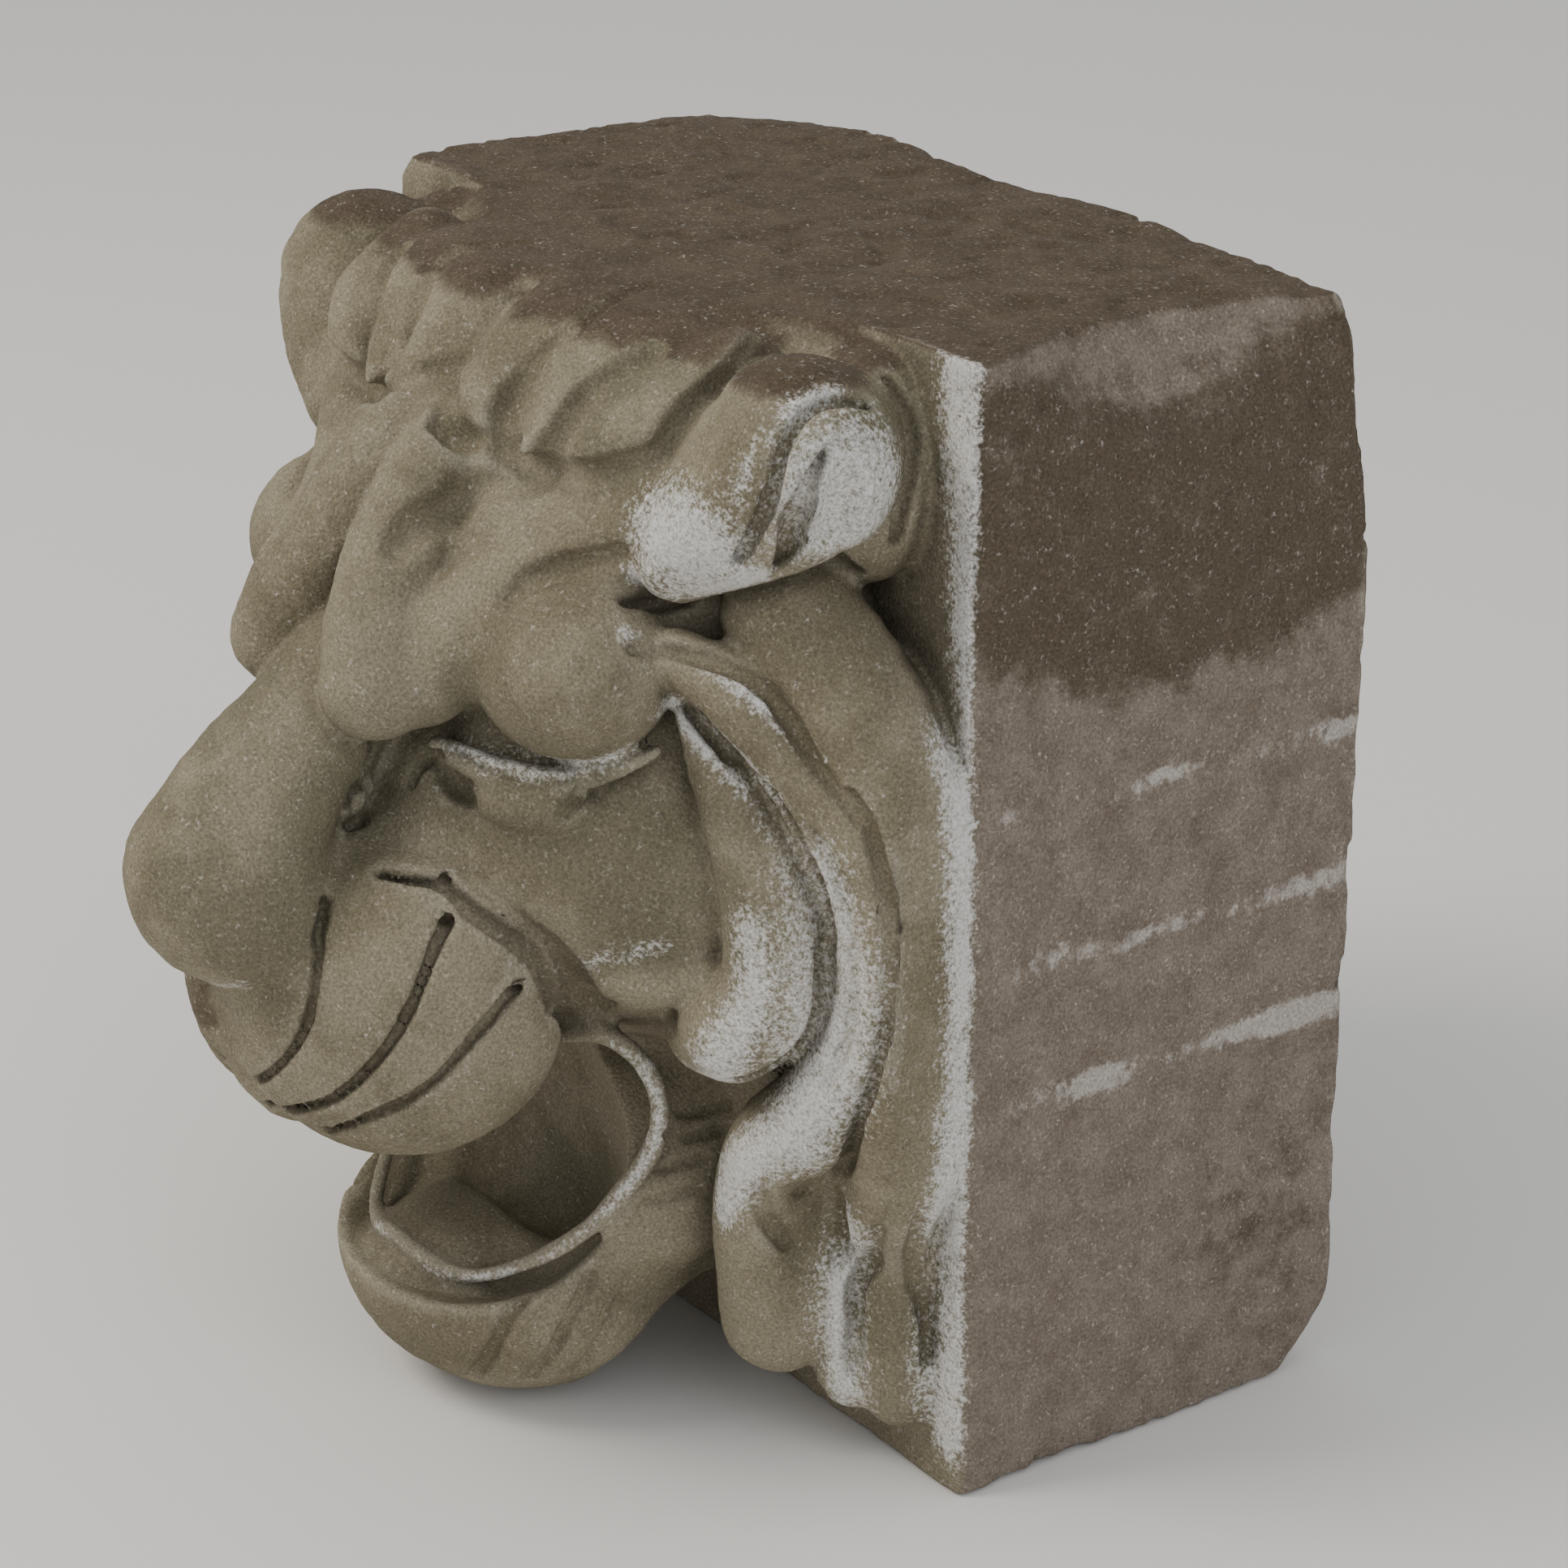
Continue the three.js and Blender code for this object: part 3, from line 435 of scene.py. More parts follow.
    def eye(self, head: Carving) -> None:
        """Cuts the eye's socket under the brow, sets lid and eyeball in it, and the lobe beside the nose.

        Args:
            head: the carving that its strokes join.
        """
        head.cut(Roll([(50, -186, 76), (72, -172, 74), (96, -159, 70), (120, -144, 72), (138, -128, 80)],
                      [6, 10, 11, 11, 7]), 5)
        head.add(Roll([(60, -174, 89), (80, -164, 83), (102, -152, 80), (122, -138, 82), (142, -118, 92),
                       (152, -106, 100)], [6, 8, 8, 8, 6, 4]), 3)
        head.add(Lump((101, -144, 67), (35, 22, 17), 33), 2)
        head.groove([(72, -170, 92), (93, -166, 86), (108, -158, 84), (122, -148, 84), (137, -133, 88)],
                    [1, 2.2, 2.2, 2.2, 1], 2, 1)
        head.groove([(134, -134, 84), (133, -138, 75), (126, -143, 67)], [2.4, 3, 2.4], 2, 4)
        head.groove([(42, -176, 64), (44, -176, 73), (54, -176, 82), (66, -176, 86)],
                    [2.4, 2.8, 2.8, 2.4], 3, 3)
        head.groove([(58, -172, 76), (68, -169, 69), (84, -170, 65)], [2, 4, 2], 2, 5)
        head.add(Lump((28, -206, 66), (10, 14, 19)), 2)
        head.groove([(24, -220, 82), (24, -222, 74), (25, -219, 62)], [2.6, 3.2, 2.6], 4, 3)
        head.groove([(46, -196, 94), (38, -194, 78), (36, -194, 64), (35, -199, 50), (30, -210, 43)],
                    [2.4, 2.6, 2.8, 2.8, 2.4], 4, 2)

    def tufts(self, head: Carving) -> None:
        """Adds the finger-like tufts that fan up from the hairline to the top bed.

        Args:
            head: the carving that its strokes join.
        """
        head.add(Lump((50, -52, 254), (130, 66, 48)), 10)
        head.add(Roll([(46, -130, 230), (30, -116, 246), (29, -96, 264), (24, -56, 282)],
                      [12, 21, 24, 24]), 3)
        head.add(Roll([(74, -120, 230), (78, -106, 243), (84, -90, 260), (88, -52, 278)],
                      [12, 20, 23, 23]), 3)
        head.add(Roll([(98, -112, 230), (118, -104, 240), (134, -88, 254), (142, -52, 274)],
                      [12, 22, 25, 25]), 3)
        head.groove([(0, -84, 296), (-2, -107, 278), (0, -124, 262), (18, -140, 252), (38, -144, 239)],
                    [3, 3, 3, 3.6, 3], 2, 9)
        head.groove([(52, -40, 297), (66, -90, 293), (59, -105, 279), (53, -118, 261), (50, -126, 245),
                     (62, -130, 236)], [2.4, 2.6, 3, 3, 3, 2.4], 2, 9)
        head.groove([(118, -85, 287), (108, -103, 273), (93, -110, 255), (86, -118, 240), (76, -122, 228)],
                    [3, 4, 4.4, 4, 3], 2.5, 9)
        head.groove([(148, -40, 291), (172, -80, 286), (160, -93, 266), (155, -102, 250)],
                    [2.4, 3, 3, 2.4], 2, 9)
        head.groove([(27, -148, 238), (34, -144, 232), (47, -134, 230), (62, -126, 229), (80, -122, 224),
                     (106, -124, 230), (132, -120, 237), (148, -108, 245)],
                    [2.4, 4, 3, 3, 3.6, 3, 3, 2.4], 2.5, 9)

    def ear(self, head: Carving) -> None:
        """Adds the round ear, laid back against the block, with a rim and two folds in it.

        Args:
            head: the carving that its strokes join.
        """
        head.add(Roll([(158, -94, 200), (178, -78, 222), (198, -56, 248)], [25, 38, 50]), 6)
        head.add(Lump((190, -10, 235), (38, 40, 58)), 6)
        head.cut(Roll([(252, -62, 268), (252, -66, 246), (240, -66, 222)], [10, 14, 10]), 5)
        head.groove([(230, -40, 278), (231, -54, 286), (229, -68, 285), (230, -80, 279), (231, -88, 270),
                     (231, -92, 258), (227, -94, 242), (221, -96, 228), (208, -98, 208)],
                    [2, 3, 3, 3.4, 3.4, 3.4, 3.4, 3, 2], 5, 3)
        head.groove([(242, -68, 268), (242, -76, 258), (238, -80, 246), (232, -82, 233), (226, -80, 217),
                     (214, -79, 202)], [2.4, 4, 6, 7, 6, 3], 8, 3)
        head.groove([(210, -14, 284), (223, -8, 266), (227, -10, 246), (226, -16, 227), (222, -16, 208)],
                    [2, 4, 4, 4, 3], 4, 3)
        head.groove([(146, -118, 178), (144, -104, 173), (152, -88, 170), (177, -80, 175), (196, -70, 182),
                     (204, -54, 186), (212, -36, 180)], [2, 4, 4, 4, 5, 5, 3], 6, 3)

    def mane(self, head: Carving) -> None:
        """Adds the three long locks, the inner one curling in beside the mouth, and their creases.

        Args:
            head: the carving that its strokes join.
        """
        outer = [
            (180, -48, 165), (208, -33, 120), (230, -20, 60), (242, -16, 0), (240, -16, -60),
            (232, -14, -110), (218, -16, -150),
        ]
        head.add(Roll(outer, [34, 40, 42, 38, 36, 30, 24]), 6)
        middle = [
            (160, -100, 150), (186, -82, 135), (206, -56, 98), (222, -36, 50), (230, -26, 0),
            (222, -30, -50), (200, -44, -92), (178, -52, -118), (166, -50, -165), (158, -38, -225),
        ]
        head.add(Roll(middle, [14, 20, 24, 26, 26, 28, 28, 28, 30, 32]), 4)
        inner = [
            (158, -96, 128), (172, -84, 92), (184, -70, 50), (190, -62, 10), (188, -62, -25),
            (172, -74, -46),
        ]
        head.add(Roll(inner, [6, 16, 24, 28, 30, 30]), 3)
        head.add(Lump((150, -72, -60), (32, 24, 22)), 8)
        head.groove([(166, -100, 126), (183, -86, 104), (205, -78, 88), (214, -65, 62), (221, -58, 38),
                     (219, -55, -2), (212, -59, -39), (203, -68, -61), (188, -88, -72)],
                    [2, 3, 4, 4, 4, 4, 5, 5, 3], 5, 3)
        head.groove([(166, -124, 162), (176, -104, 157), (190, -92, 153), (206, -78, 140), (226, -66, 108),
                     (246, -58, 84)], [2.4, 3, 3.4, 3.4, 3, 2.4], 4, 4)
        head.groove([(243, -59, 96), (254, -53, 73), (260, -48, 41), (260, -46, 2), (254, -47, -38),
                     (240, -45, -75), (222, -43, -112), (208, -44, -128)],
                    [2.4, 3, 3.4, 3.4, 3.4, 3.4, 3.4, 3], 5, 4)
        head.groove([(226, -66, 70), (238, -58, 36), (240, -54, 0), (234, -54, -36), (222, -55, -66)],
                    [2.3, 2.5, 2.8, 2.5, 2.3], 2, 4)

    def lobes(self, head: Carving) -> None:
        """Adds the lobes at the feet of the locks and cuts the pocket between them.

        Args:
            head: the carving that its strokes join.
        """
        head.add(Roll([(205, -23, -130), (196, -24, -175), (190, -18, -215), (192, -14, -250)],
                      [20, 15, 20, 22]), 3)
        head.add(Roll([(225, -13, -130), (220, -10, -170), (216, -3, -215), (212, 2, -252)],
                      [22, 18, 24, 26]), 3)
        head.cut(Lump((203, -50, -156), (15, 26, 34)), 5)
        head.groove([(236, -34, -146), (222, -28, -172), (206, -26, -192), (203, -24, -214),
                     (208, -28, -240)],
                    [2.4, 3, 3.4, 3, 2.4], 3, 7)
        head.groove([(253, -18, -134), (240, -14, -156), (234, -10, -182), (239, -2, -202), (241, -2, -228)],
                    [2.4, 3, 3.2, 3, 2.4], 2.5, 7)
        head.groove([(192, -76, -134), (192, -68, -148), (190, -54, -166)], [3, 4.4, 3.4], 3, 6)
        for dot in ((190, -47, -140), (196, -38, -140)):
            head.cut(Lump(dot, (4, 7, 4)), 1)


# The block


@dataclass(frozen=True)
class WornEdge:
    """A long edge of the block rolled off by weather, wider at some places along it than at others.

    first and second are the faces beside the edge, each an axis and the side of the block it is on; stops
    are the place along the third axis, the width worn off the second face and off the first.
    """

    first: tuple[int, int]
    second: tuple[int, int]
    stops: tuple[tuple[float, float, float], ...]

    def air(self, points: np.ndarray, low: np.ndarray, high: np.ndarray) -> np.ndarray:
        """Gives how far each point lies outside the worn edge.

        Args:
            points: places in millimetres.
            low: the block's lowest corner.
            high: its highest corner.

        Returns:
            A distance for each point, above zero in the air.
        """
        along_axis = 3 - self.first[0] - self.second[0]
        places, widths, drops = (np.array(column) for column in zip(*self.stops))
        along = points[:, along_axis]
        width = np.interp(along, places, widths)
        drop = np.interp(along, places, drops)
        inward = [
            (high[axis] - points[:, axis]) if side > 0 else (points[:, axis] - low[axis])
            for axis, side in (self.first, self.second)
        ]
        return (1 - inward[0] / width - inward[1] / drop) / np.hypot(1 / width, 1 / drop)


@dataclass(frozen=True)
class BrokenCorner:
    """A corner of the block broken off: its sides and how far the break runs along each edge."""

    sides: tuple[int, int, int]
    runs: tuple[float, float, float]

    def air(self, points: np.ndarray, low: np.ndarray, high: np.ndarray) -> np.ndarray:
        """Gives how far each point lies outside the break.

        Args:
            points: places in millimetres.
            low: the block's lowest corner.
            high: its highest corner.

        Returns:
            A distance for each point, above zero in the air.
        """
        total = np.zeros(len(points))
        for axis, (side, run) in enumerate(zip(self.sides, self.runs)):
            inward = high[axis] - points[:, axis] if side > 0 else points[:, axis] - low[axis]
            total += inward / run
        return (1 - total) / math.sqrt(sum(run**-2 for run in self.runs))


@dataclass(frozen=True)
class Block:
    """The square block behind the head, with its worn edges and broken corners.

    rounding is the radius of its sound edges, and softness the width over which wear runs into a face.
    """

    width: float = 526.0
    height: float = 600.0
    depth: float = 252.0
    rounding: float = 3.0
    softness: float = 4.0

    def wear(self) -> tuple[WornEdge | BrokenCorner, ...]:
        """Lists what time has taken off the block.

        Returns:
            The worn edges and the broken corners.
        """
        back = self.depth
        side, top = self.width / 2, self.height / 2
        return (
            BrokenCorner((-1, 1, 1), (118, 83, 14)),
            BrokenCorner((1, 1, 1), (280, 24, 130)),
            BrokenCorner((1, 1, -1), (62, 34, 42)),
            BrokenCorner((-1, -1, 1), (16, 14, 16)),
            WornEdge((1, 1), (2, 1), (
                (130 - side, 2, 2), (170 - side, 14, 9), (230 - side, 20, 14), (290 - side, 12, 8),
                (340 - side, 2, 2))),
            WornEdge((0, 1), (2, 1), (
                (6, 2, 3), (35, 14, 24), (75, 30, 46), (125, 36, 56), (185, 22, 44), (back - 14, 4, 8))),
            WornEdge((0, 1), (1, -1), (
                (top - 262, 2, 2), (top - 190, 5, 14), (top - 120, 6, 18), (top - 55, 4, 12),
                (top - 24, 2, 2))),
            WornEdge((0, 1), (1, -1), (
                (60 - top, 2, 2), (90 - top, 3, 6), (130 - top, 5, 8), (170 - top, 2, 2))),
            WornEdge((0, -1), (1, 1), (
                (110 - top, 2, 2), (160 - top, 8, 12), (230 - top, 14, 18), (300 - top, 7, 9),
                (350 - top, 2, 2))),
            WornEdge((0, -1), (2, 1), ((60, 2, 2), (90, 6, 9), (120, 8, 10), (back - 90, 2, 2))),
        )

    def distance(self, points: np.ndarray) -> np.ndarray:
        """Gives the distance of each point to the block's skin, below zero inside.

        Args:
            points: places in millimetres, y from the block's front.

        Returns:
            One signed distance for each row.
        """
        low = np.array([-self.width / 2, 0, -self.height / 2])
        high = np.array([self.width / 2, self.depth, self.height / 2])
        inset = np.maximum(low - points, points - high) + self.rounding
        skin = np.linalg.norm(np.maximum(inset, 0), axis=1) + np.minimum(inset.max(axis=1), 0) - self.rounding
        for worn in self.wear():
            air = worn.air(points, low, high)
            overlap = np.maximum(self.softness - np.abs(skin - air), 0) / self.softness
            skin = np.maximum(skin, air) + overlap**2 * (self.softness / 4)
        return skin


# From field to mesh


@dataclass(frozen=True)
class SurfaceNet:
    """Turns a distance field into a mesh on a grid, sampled closely only near the skin.

    step is the grid's spacing and block the side, in steps, of the cubes that are sampled at once. A cube is
    sampled if its middle is nearer to the skin than nearness times its side, and a thread takes batch cubes.
    """

    step: float
    block: int = 8
    nearness: float = 1.25
    batch: int = 60

    def sample(self, shape: Field, low: np.ndarray, high: np.ndarray) -> np.ndarray:
        """Samples the field.

        Args:
            shape: the field.
            low: lowest corner of the grid.
            high: highest corner of the grid.

        Returns:
            The values at the grid's points, in three dimensions.
        """
        blocks = np.ceil((high - low) / self.step / self.block).astype(int)
        starts = np.stack(np.meshgrid(*(np.arange(n) for n in blocks), indexing="ij"), -1).reshape(-1, 3)
        centres = low + (starts + 0.5) * self.block * self.step
        coarse = shape(centres)
        values = np.repeat(coarse.astype(np.float32), self.block**3).reshape(-1, *(self.block,) * 3)
        near = np.nonzero(np.abs(coarse) < self.nearness * self.block * self.step)[0]
        inner = np.stack(np.meshgrid(*(np.arange(self.block),) * 3, indexing="ij"), -1).reshape(-1, 3)

        def fill(chosen: np.ndarray) -> None:
            """Samples some blocks in full.

            Args:
                chosen: the blocks' numbers.
            """
            corners = starts[chosen] * self.block
            points = low + (corners[:, None, :] + inner[None, :, :]).reshape(-1, 3) * self.step
            values[chosen] = shape(points).reshape(-1, *(self.block,) * 3)

        with ThreadPoolExecutor(WORKERS) as pool:
            list(pool.map(fill, np.array_split(near, max(1, len(near) // self.batch))))
        grid = values.reshape(*blocks, *(self.block,) * 3).transpose(0, 3, 1, 4, 2, 5)
        return grid.reshape(*(blocks * self.block))

    def mesh(self, shape: Field, low: np.ndarray, high: np.ndarray) -> tuple[np.ndarray, np.ndarray]:
        """Puts a vertex in each cell that the skin crosses and joins them by four-sided faces.

        Args:
            shape: the field.
            low: lowest corner of the space to look in.
            high: highest corner.

        Returns:
            The vertices in millimetres, and the faces as rows of four vertex numbers.
        """
        values = self.sample(shape, low, high)
        inside = values < 0
        shifts = [(a, b, c) for a in (0, 1) for b in (0, 1) for c in (0, 1)]
        size = [n - 1 for n in values.shape]
        count = sum(
            inside[a : a + size[0], b : b + size[1], c : c + size[2]].astype(np.int8) for a, b, c in shifts
        )
        cells = np.argwhere((count > 0) & (count < 8))
        corner = np.stack([values[tuple((cells + shift).T)] for shift in shifts], axis=1)
        total = np.zeros((len(cells), 3))
        crossings = np.zeros(len(cells))
        for first, start in enumerate(shifts):
            for second, end in enumerate(shifts):
                if sum(end) != sum(start) + 1 or sum(abs(a - b) for a, b in zip(start, end)) != 1:
                    continue
                here, there = corner[:, first], corner[:, second]
                crossed = (here < 0) != (there < 0)
                share = np.where(crossed, here / np.where(crossed, here - there, 1), 0)
                place = np.array(start) + share[:, None] * (np.array(end) - np.array(start))
                total += place * crossed[:, None]
                crossings += crossed
        vertices = low + (cells + total / crossings[:, None]) * self.step
        number = np.full(size, -1, dtype=np.int32)
        number[tuple(cells.T)] = np.arange(len(cells))
        faces = [self.ring(inside, number, axis) for axis in range(3)]
        return vertices, np.vstack(faces)

    def ring(self, inside: np.ndarray, number: np.ndarray, axis: int) -> np.ndarray:
        """Makes the faces around the grid's edges along one axis.

        Args:
            inside: whether each point of the grid is in the stone.
            number: the vertex number of each cell.
            axis: the axis of the edges.

        Returns:
            The faces as rows of four vertex numbers.
        """
        ahead = np.roll(inside, -1, axis=axis)
        edges = np.argwhere(inside != ahead)
        limit = np.array(number.shape) - 1
        edges = edges[(edges > 0).all(axis=1) & (edges <= limit).all(axis=1)]
        first, second = [(axis + 1) % 3, (axis + 2) % 3]
        around = []
        for a, b in ((0, 0), (1, 0), (1, 1), (0, 1)):
            cell = edges.copy()
            cell[:, first] -= a
            cell[:, second] -= b
            around.append(number[tuple(cell.T)])
        faces = np.stack(around, axis=1)
        solid = inside[tuple(edges.T)]
        faces[~solid] = faces[~solid][:, ::-1]
        return faces[(faces >= 0).all(axis=1)]


def lattice_noise(points: np.ndarray, period: float, seed: int) -> np.ndarray:
    """Gives smooth random values on a lattice, the same on each run.

    Args:
        points: places in millimetres.
        period: the lattice's spacing in millimetres.
        seed: which of many such noises.

    Returns:
        A value from -1 to 1 for each point.
    """
    scaled = points / period + 1000.0
    cell = np.floor(scaled).astype(np.int64)
    part = scaled - cell
    part = part * part * (3 - 2 * part)
    total = np.zeros(len(points))
    for shift in ((a, b, c) for a in (0, 1) for b in (0, 1) for c in (0, 1)):
        corner = cell + shift
        # large primes scatter the lattice's corners
        key = (corner[:, 0] * 73856093) ^ (corner[:, 1] * 19349663) ^ (corner[:, 2] * 83492791)
        key = key ^ (seed * 2654435761)
        key = (key ^ (key >> 13)) * 1274126177 & 0xFFFFFFFF
        value = ((key ^ (key >> 16)) & 0xFFFF) / 32767.5 - 1
        weight = np.prod(np.where(shift, part, 1 - part), axis=1)
        total += value * weight
    return total


@dataclass(frozen=True)
class Stain:
    """A soft-edged place on the stone, in the reach of a form, where a growth or a bloom lies."""

    form: Form
    softness: float
    strength: float = 1.0

    def amount(self, points: np.ndarray) -> np.ndarray:
        """Tells, from 0 to 1, how much of the stain lies at each point."""
        return self.strength * np.clip(0.5 - self.form.distance(points) / self.softness, 0, 1)


@dataclass
class Stone:
    """The whole corbel as one mesh: shape, weathered surface and the stains on it.

    grid is the step of the net and triangles the number it is thinned to. root is how far the head's masses
    reach into the block, dressing how far they keep back from its faces, joint the width over which head and
    block run together, and inset how far the finished skin keeps inside the corbel's own box. rooms gives the
    distances at which a hollow is felt, each with its weight, edge_depth the depth at which an edge is, and
    courses the heights of the mortar lines.
    """

    head: LionHead
    block: Block
    grid: float = 2.3
    triangles: int = 196_000
    root: float = 24.0
    dressing: float = 1.5
    joint: float = 3.0
    inset: float = 0.05
    rooms: tuple[tuple[float, float], ...] = ((5, 0.35), (14, 0.35), (36, 0.3))
    edge_depth: float = 7.0
    courses: tuple[float, ...] = (70, -12, -85)

    def __post_init__(self) -> None:
        """Carves the head."""
        self.carving = self.head.carve()

    def distance(self, points: np.ndarray) -> np.ndarray:
        """Gives the distance of each point to the skin of the whole stone, below zero inside.

        Args:
            points: places in millimetres.

        Returns:
            One signed distance for each row.
        """
        head = self.carving.distance(points)
        limit = np.maximum(
            np.abs(points[:, 0]) - self.head.width / 2 + self.dressing,
            np.maximum(np.abs(points[:, 2]) - self.head.height / 2 + self.dressing, points[:, 1] - self.root),
        )
        head = np.maximum(head, limit)
        block = self.block.distance(points)
        overlap = np.maximum(self.joint - np.abs(head - block), 0) / self.joint
        return np.minimum(head, block) - overlap**2 * (self.joint / 4)

    def roughen(self, points: np.ndarray, normals: np.ndarray) -> np.ndarray:
        """Wears the skin: slow unevenness, coarse grain and small pits, with tooling and scars on the block.

        Args:
            points: places in millimetres.
            normals: outward directions there.

        Returns:
            The moved places.
        """
        # each noise has its spacing, then its seed, and is as high as the number after it, in millimetres
        slow = lattice_noise(points, 46, 1) * 0.9 + lattice_noise(points, 21, 2) * 0.5
        grain = lattice_noise(points, 9, 3) * 0.35 + lattice_noise(points, 5, 4) * 0.3
        pits = np.maximum(lattice_noise(points, 13, 5) - 0.42, 0) * 2.4
        bed = self.on_block(points)
        scars = np.maximum(lattice_noise(points, 27, 7) - 0.25, 0) * 3.2 + lattice_noise(points, 34, 8) * 0.8
        tooling = lattice_noise(points * np.array([1, 1, 0.1]), 8, 6) * 0.7 * bed
        depth = slow + grain + tooling - pits * (0.4 + 1.8 * bed) - scars * bed - 0.9 - 0.9 * bed
        return points + normals * depth[:, None]

    def keep_in(self, points: np.ndarray) -> np.ndarray:
        """Brings places that stick out of the corbel's own box back into it.

        Args:
            points: places in millimetres.

        Returns:
            The places, all of them in the box.
        """
        side, top = self.head.width / 2 - self.inset, self.head.height / 2 - self.inset
        front, back = -self.head.projection, self.block.depth - self.inset
        return np.clip(points, (-side, front, -top), (side, back, top))

    def on_block(self, points: np.ndarray) -> np.ndarray:
        """Tells, from 0 to 1, how much each point lies on the block's sides, beds or back."""
        return np.clip(points[:, 1] / 6, 0, 1)

    def hollow(self, points: np.ndarray, normals: np.ndarray) -> np.ndarray:
        """Tells how deep in a hollow each point lies, by the room in front of it, for the shade painted
        there.

        Args:
            points: places in millimetres.
            normals: outward directions there.

        Returns:
            A value from 0, open, to 1, shut in.
        """
        total = np.zeros(len(points))
        for reach, weight in self.rooms:
            room = self.distance(points + normals * reach) / reach
            total += weight * np.clip(1 - room, 0, 1)
        return total

    def edge(self, points: np.ndarray, normals: np.ndarray) -> np.ndarray:
        """Tells, from 0 to 1, how sharply the stone turns outward at each point."""
        room = self.distance(points - normals * self.edge_depth) / -self.edge_depth
        return np.clip((0.9 - room) * 2.2, 0, 1)

    def lime(self) -> tuple[Stain, ...]:
        """Lists where the whitish bloom of lime lies, most of it on the side that the wall sheltered.

        Returns:
            The soft places, in millimetres.
        """
        return (
            Stain(Lump((182, -106, 214), (34, 26, 26)), 26, 0.9),
            Stain(Roll([(150, -112, 188), (176, -98, 192), (205, -88, 200)], [8, 9, 10]), 10, 1.0),
            Stain(Roll([(206, -100, 226), (216, -94, 258), (222, -78, 280), (228, -56, 288)],
                       [4, 5, 5, 4]), 9, 0.9),
            Stain(Lump((242, -62, 236), (26, 40, 44)), 30, 0.75),
            Stain(Roll([(262, -2, 290), (262, -4, 180), (262, -2, 60), (262, -2, -60)],
                       [30, 22, 11, 9]), 16, 1.0),
            Stain(Roll([(262, -2, -60), (262, -2, -150), (258, -4, -260)], [10, 22, 22]), 16, 0.9),
            Stain(Roll([(150, -108, 128), (176, -98, 114), (200, -84, 92), (216, -72, 55)],
                       [5, 8, 9, 7]), 10, 1.0),
            Stain(Roll([(156, -126, 164), (186, -100, 156), (212, -82, 136), (232, -70, 106)],
                       [3, 6, 6, 4]), 8, 0.9),
            Stain(Roll([(226, -68, 50), (236, -66, 0), (230, -66, -50), (212, -72, -95)],
                       [16, 24, 26, 22]), 30, 0.85),
            Stain(Roll([(200, -84, 20), (202, -84, -20), (184, -94, -56)], [8, 12, 14]), 20, 0.85),
            Stain(Roll([(128, -94, -76), (160, -98, -78), (188, -90, -66)], [6, 8, 8]), 10, 1.0),
            Stain(Roll([(200, -70, -100), (176, -80, -124), (166, -80, -150)], [12, 14, 8]), 20, 1.0),
            Stain(Lump((140, -14, -222), (40, 30, 60)), 20, 1.0),
            Stain(Roll([(214, -36, -150), (204, -34, -200), (206, -34, -262)], [14, 12, 12]), 18, 0.85),
            Stain(Roll([(70, -168, 91), (96, -156, 89), (120, -144, 91), (146, -122, 102)],
                       [5, 7, 7, 6]), 12, 0.7),
            Stain(Roll([(112, -136, -24), (134, -128, -14), (154, -106, -4)], [4, 5, 4]), 8, 0.8),
            Stain(Roll([(118, -112, -70), (132, -94, -100), (118, -104, -150), (84, -140, -204)],
                       [4, 5, 5, 4]), 7, 0.8),
            Stain(Roll([(72, -148, -208), (46, -168, -218), (14, -182, -212), (-20, -178, -208)],
                       [4, 4, 4, 3]), 6, 0.8),
            Stain(Roll([(-30, -276, -40), (10, -284, -34), (40, -276, -24)], [5, 5, 4]), 8, 0.8),
        )

    def soot_and_shade(self) -> tuple[Stain, ...]:
        """Lists where soot and algae have darkened the stone, and where shadow is painted: along the step at
        the top front edge and under the near eye.

        Returns:
            The soft places, in millimetres.
        """
        return (
            # painted shadow of the step along the top front edge
            Stain(Roll([(-250, 3, 300), (0, 3, 300), (262, 3, 300)], [3, 3, 3]), 6, 0.9),
            Stain(Lump((263, 130, 215), (20, 190, 100)), 26, 0.85),
            Stain(Lump((-60, -262, -52), (60, 40, 30)), 22, 0.6),
            Stain(Lump((-50, -262, 56), (26, 40, 26)), 20, 0.7),
            # painted shadow under the near eye's ball
            Stain(Roll([(50, -196, 70), (84, -180, 56), (108, -168, 48)], [10, 12, 8]), 22, 0.3),
            Stain(Lump((263, 200, -190), (12, 50, 60)), 40, 0.5),
            Stain(Lump((-150, -80, 292), (60, 60, 16)), 24, 0.5),
        )

    def mortar(self, points: np.ndarray) -> np.ndarray:
        """Tells how much mortar clings to each point, in courses along the sides.

        Args:
            points: places in millimetres.

        Returns:
            A value from 0 to 1 for each point.
        """
        uneven = lattice_noise(points, 34, 11) * 4 + lattice_noise(points, 11, 12) * 2
        courses = [
            np.clip(1.3 - np.abs(points[:, 2] + uneven - height) / 8, 0, 1) for height in self.courses
        ]
        patchy = np.clip(0.55 + lattice_noise(points, 40, 13) * 0.8, 0, 1)
        return np.max(courses, axis=0) * patchy * np.clip((points[:, 1] - 12) / 10, 0, 1)

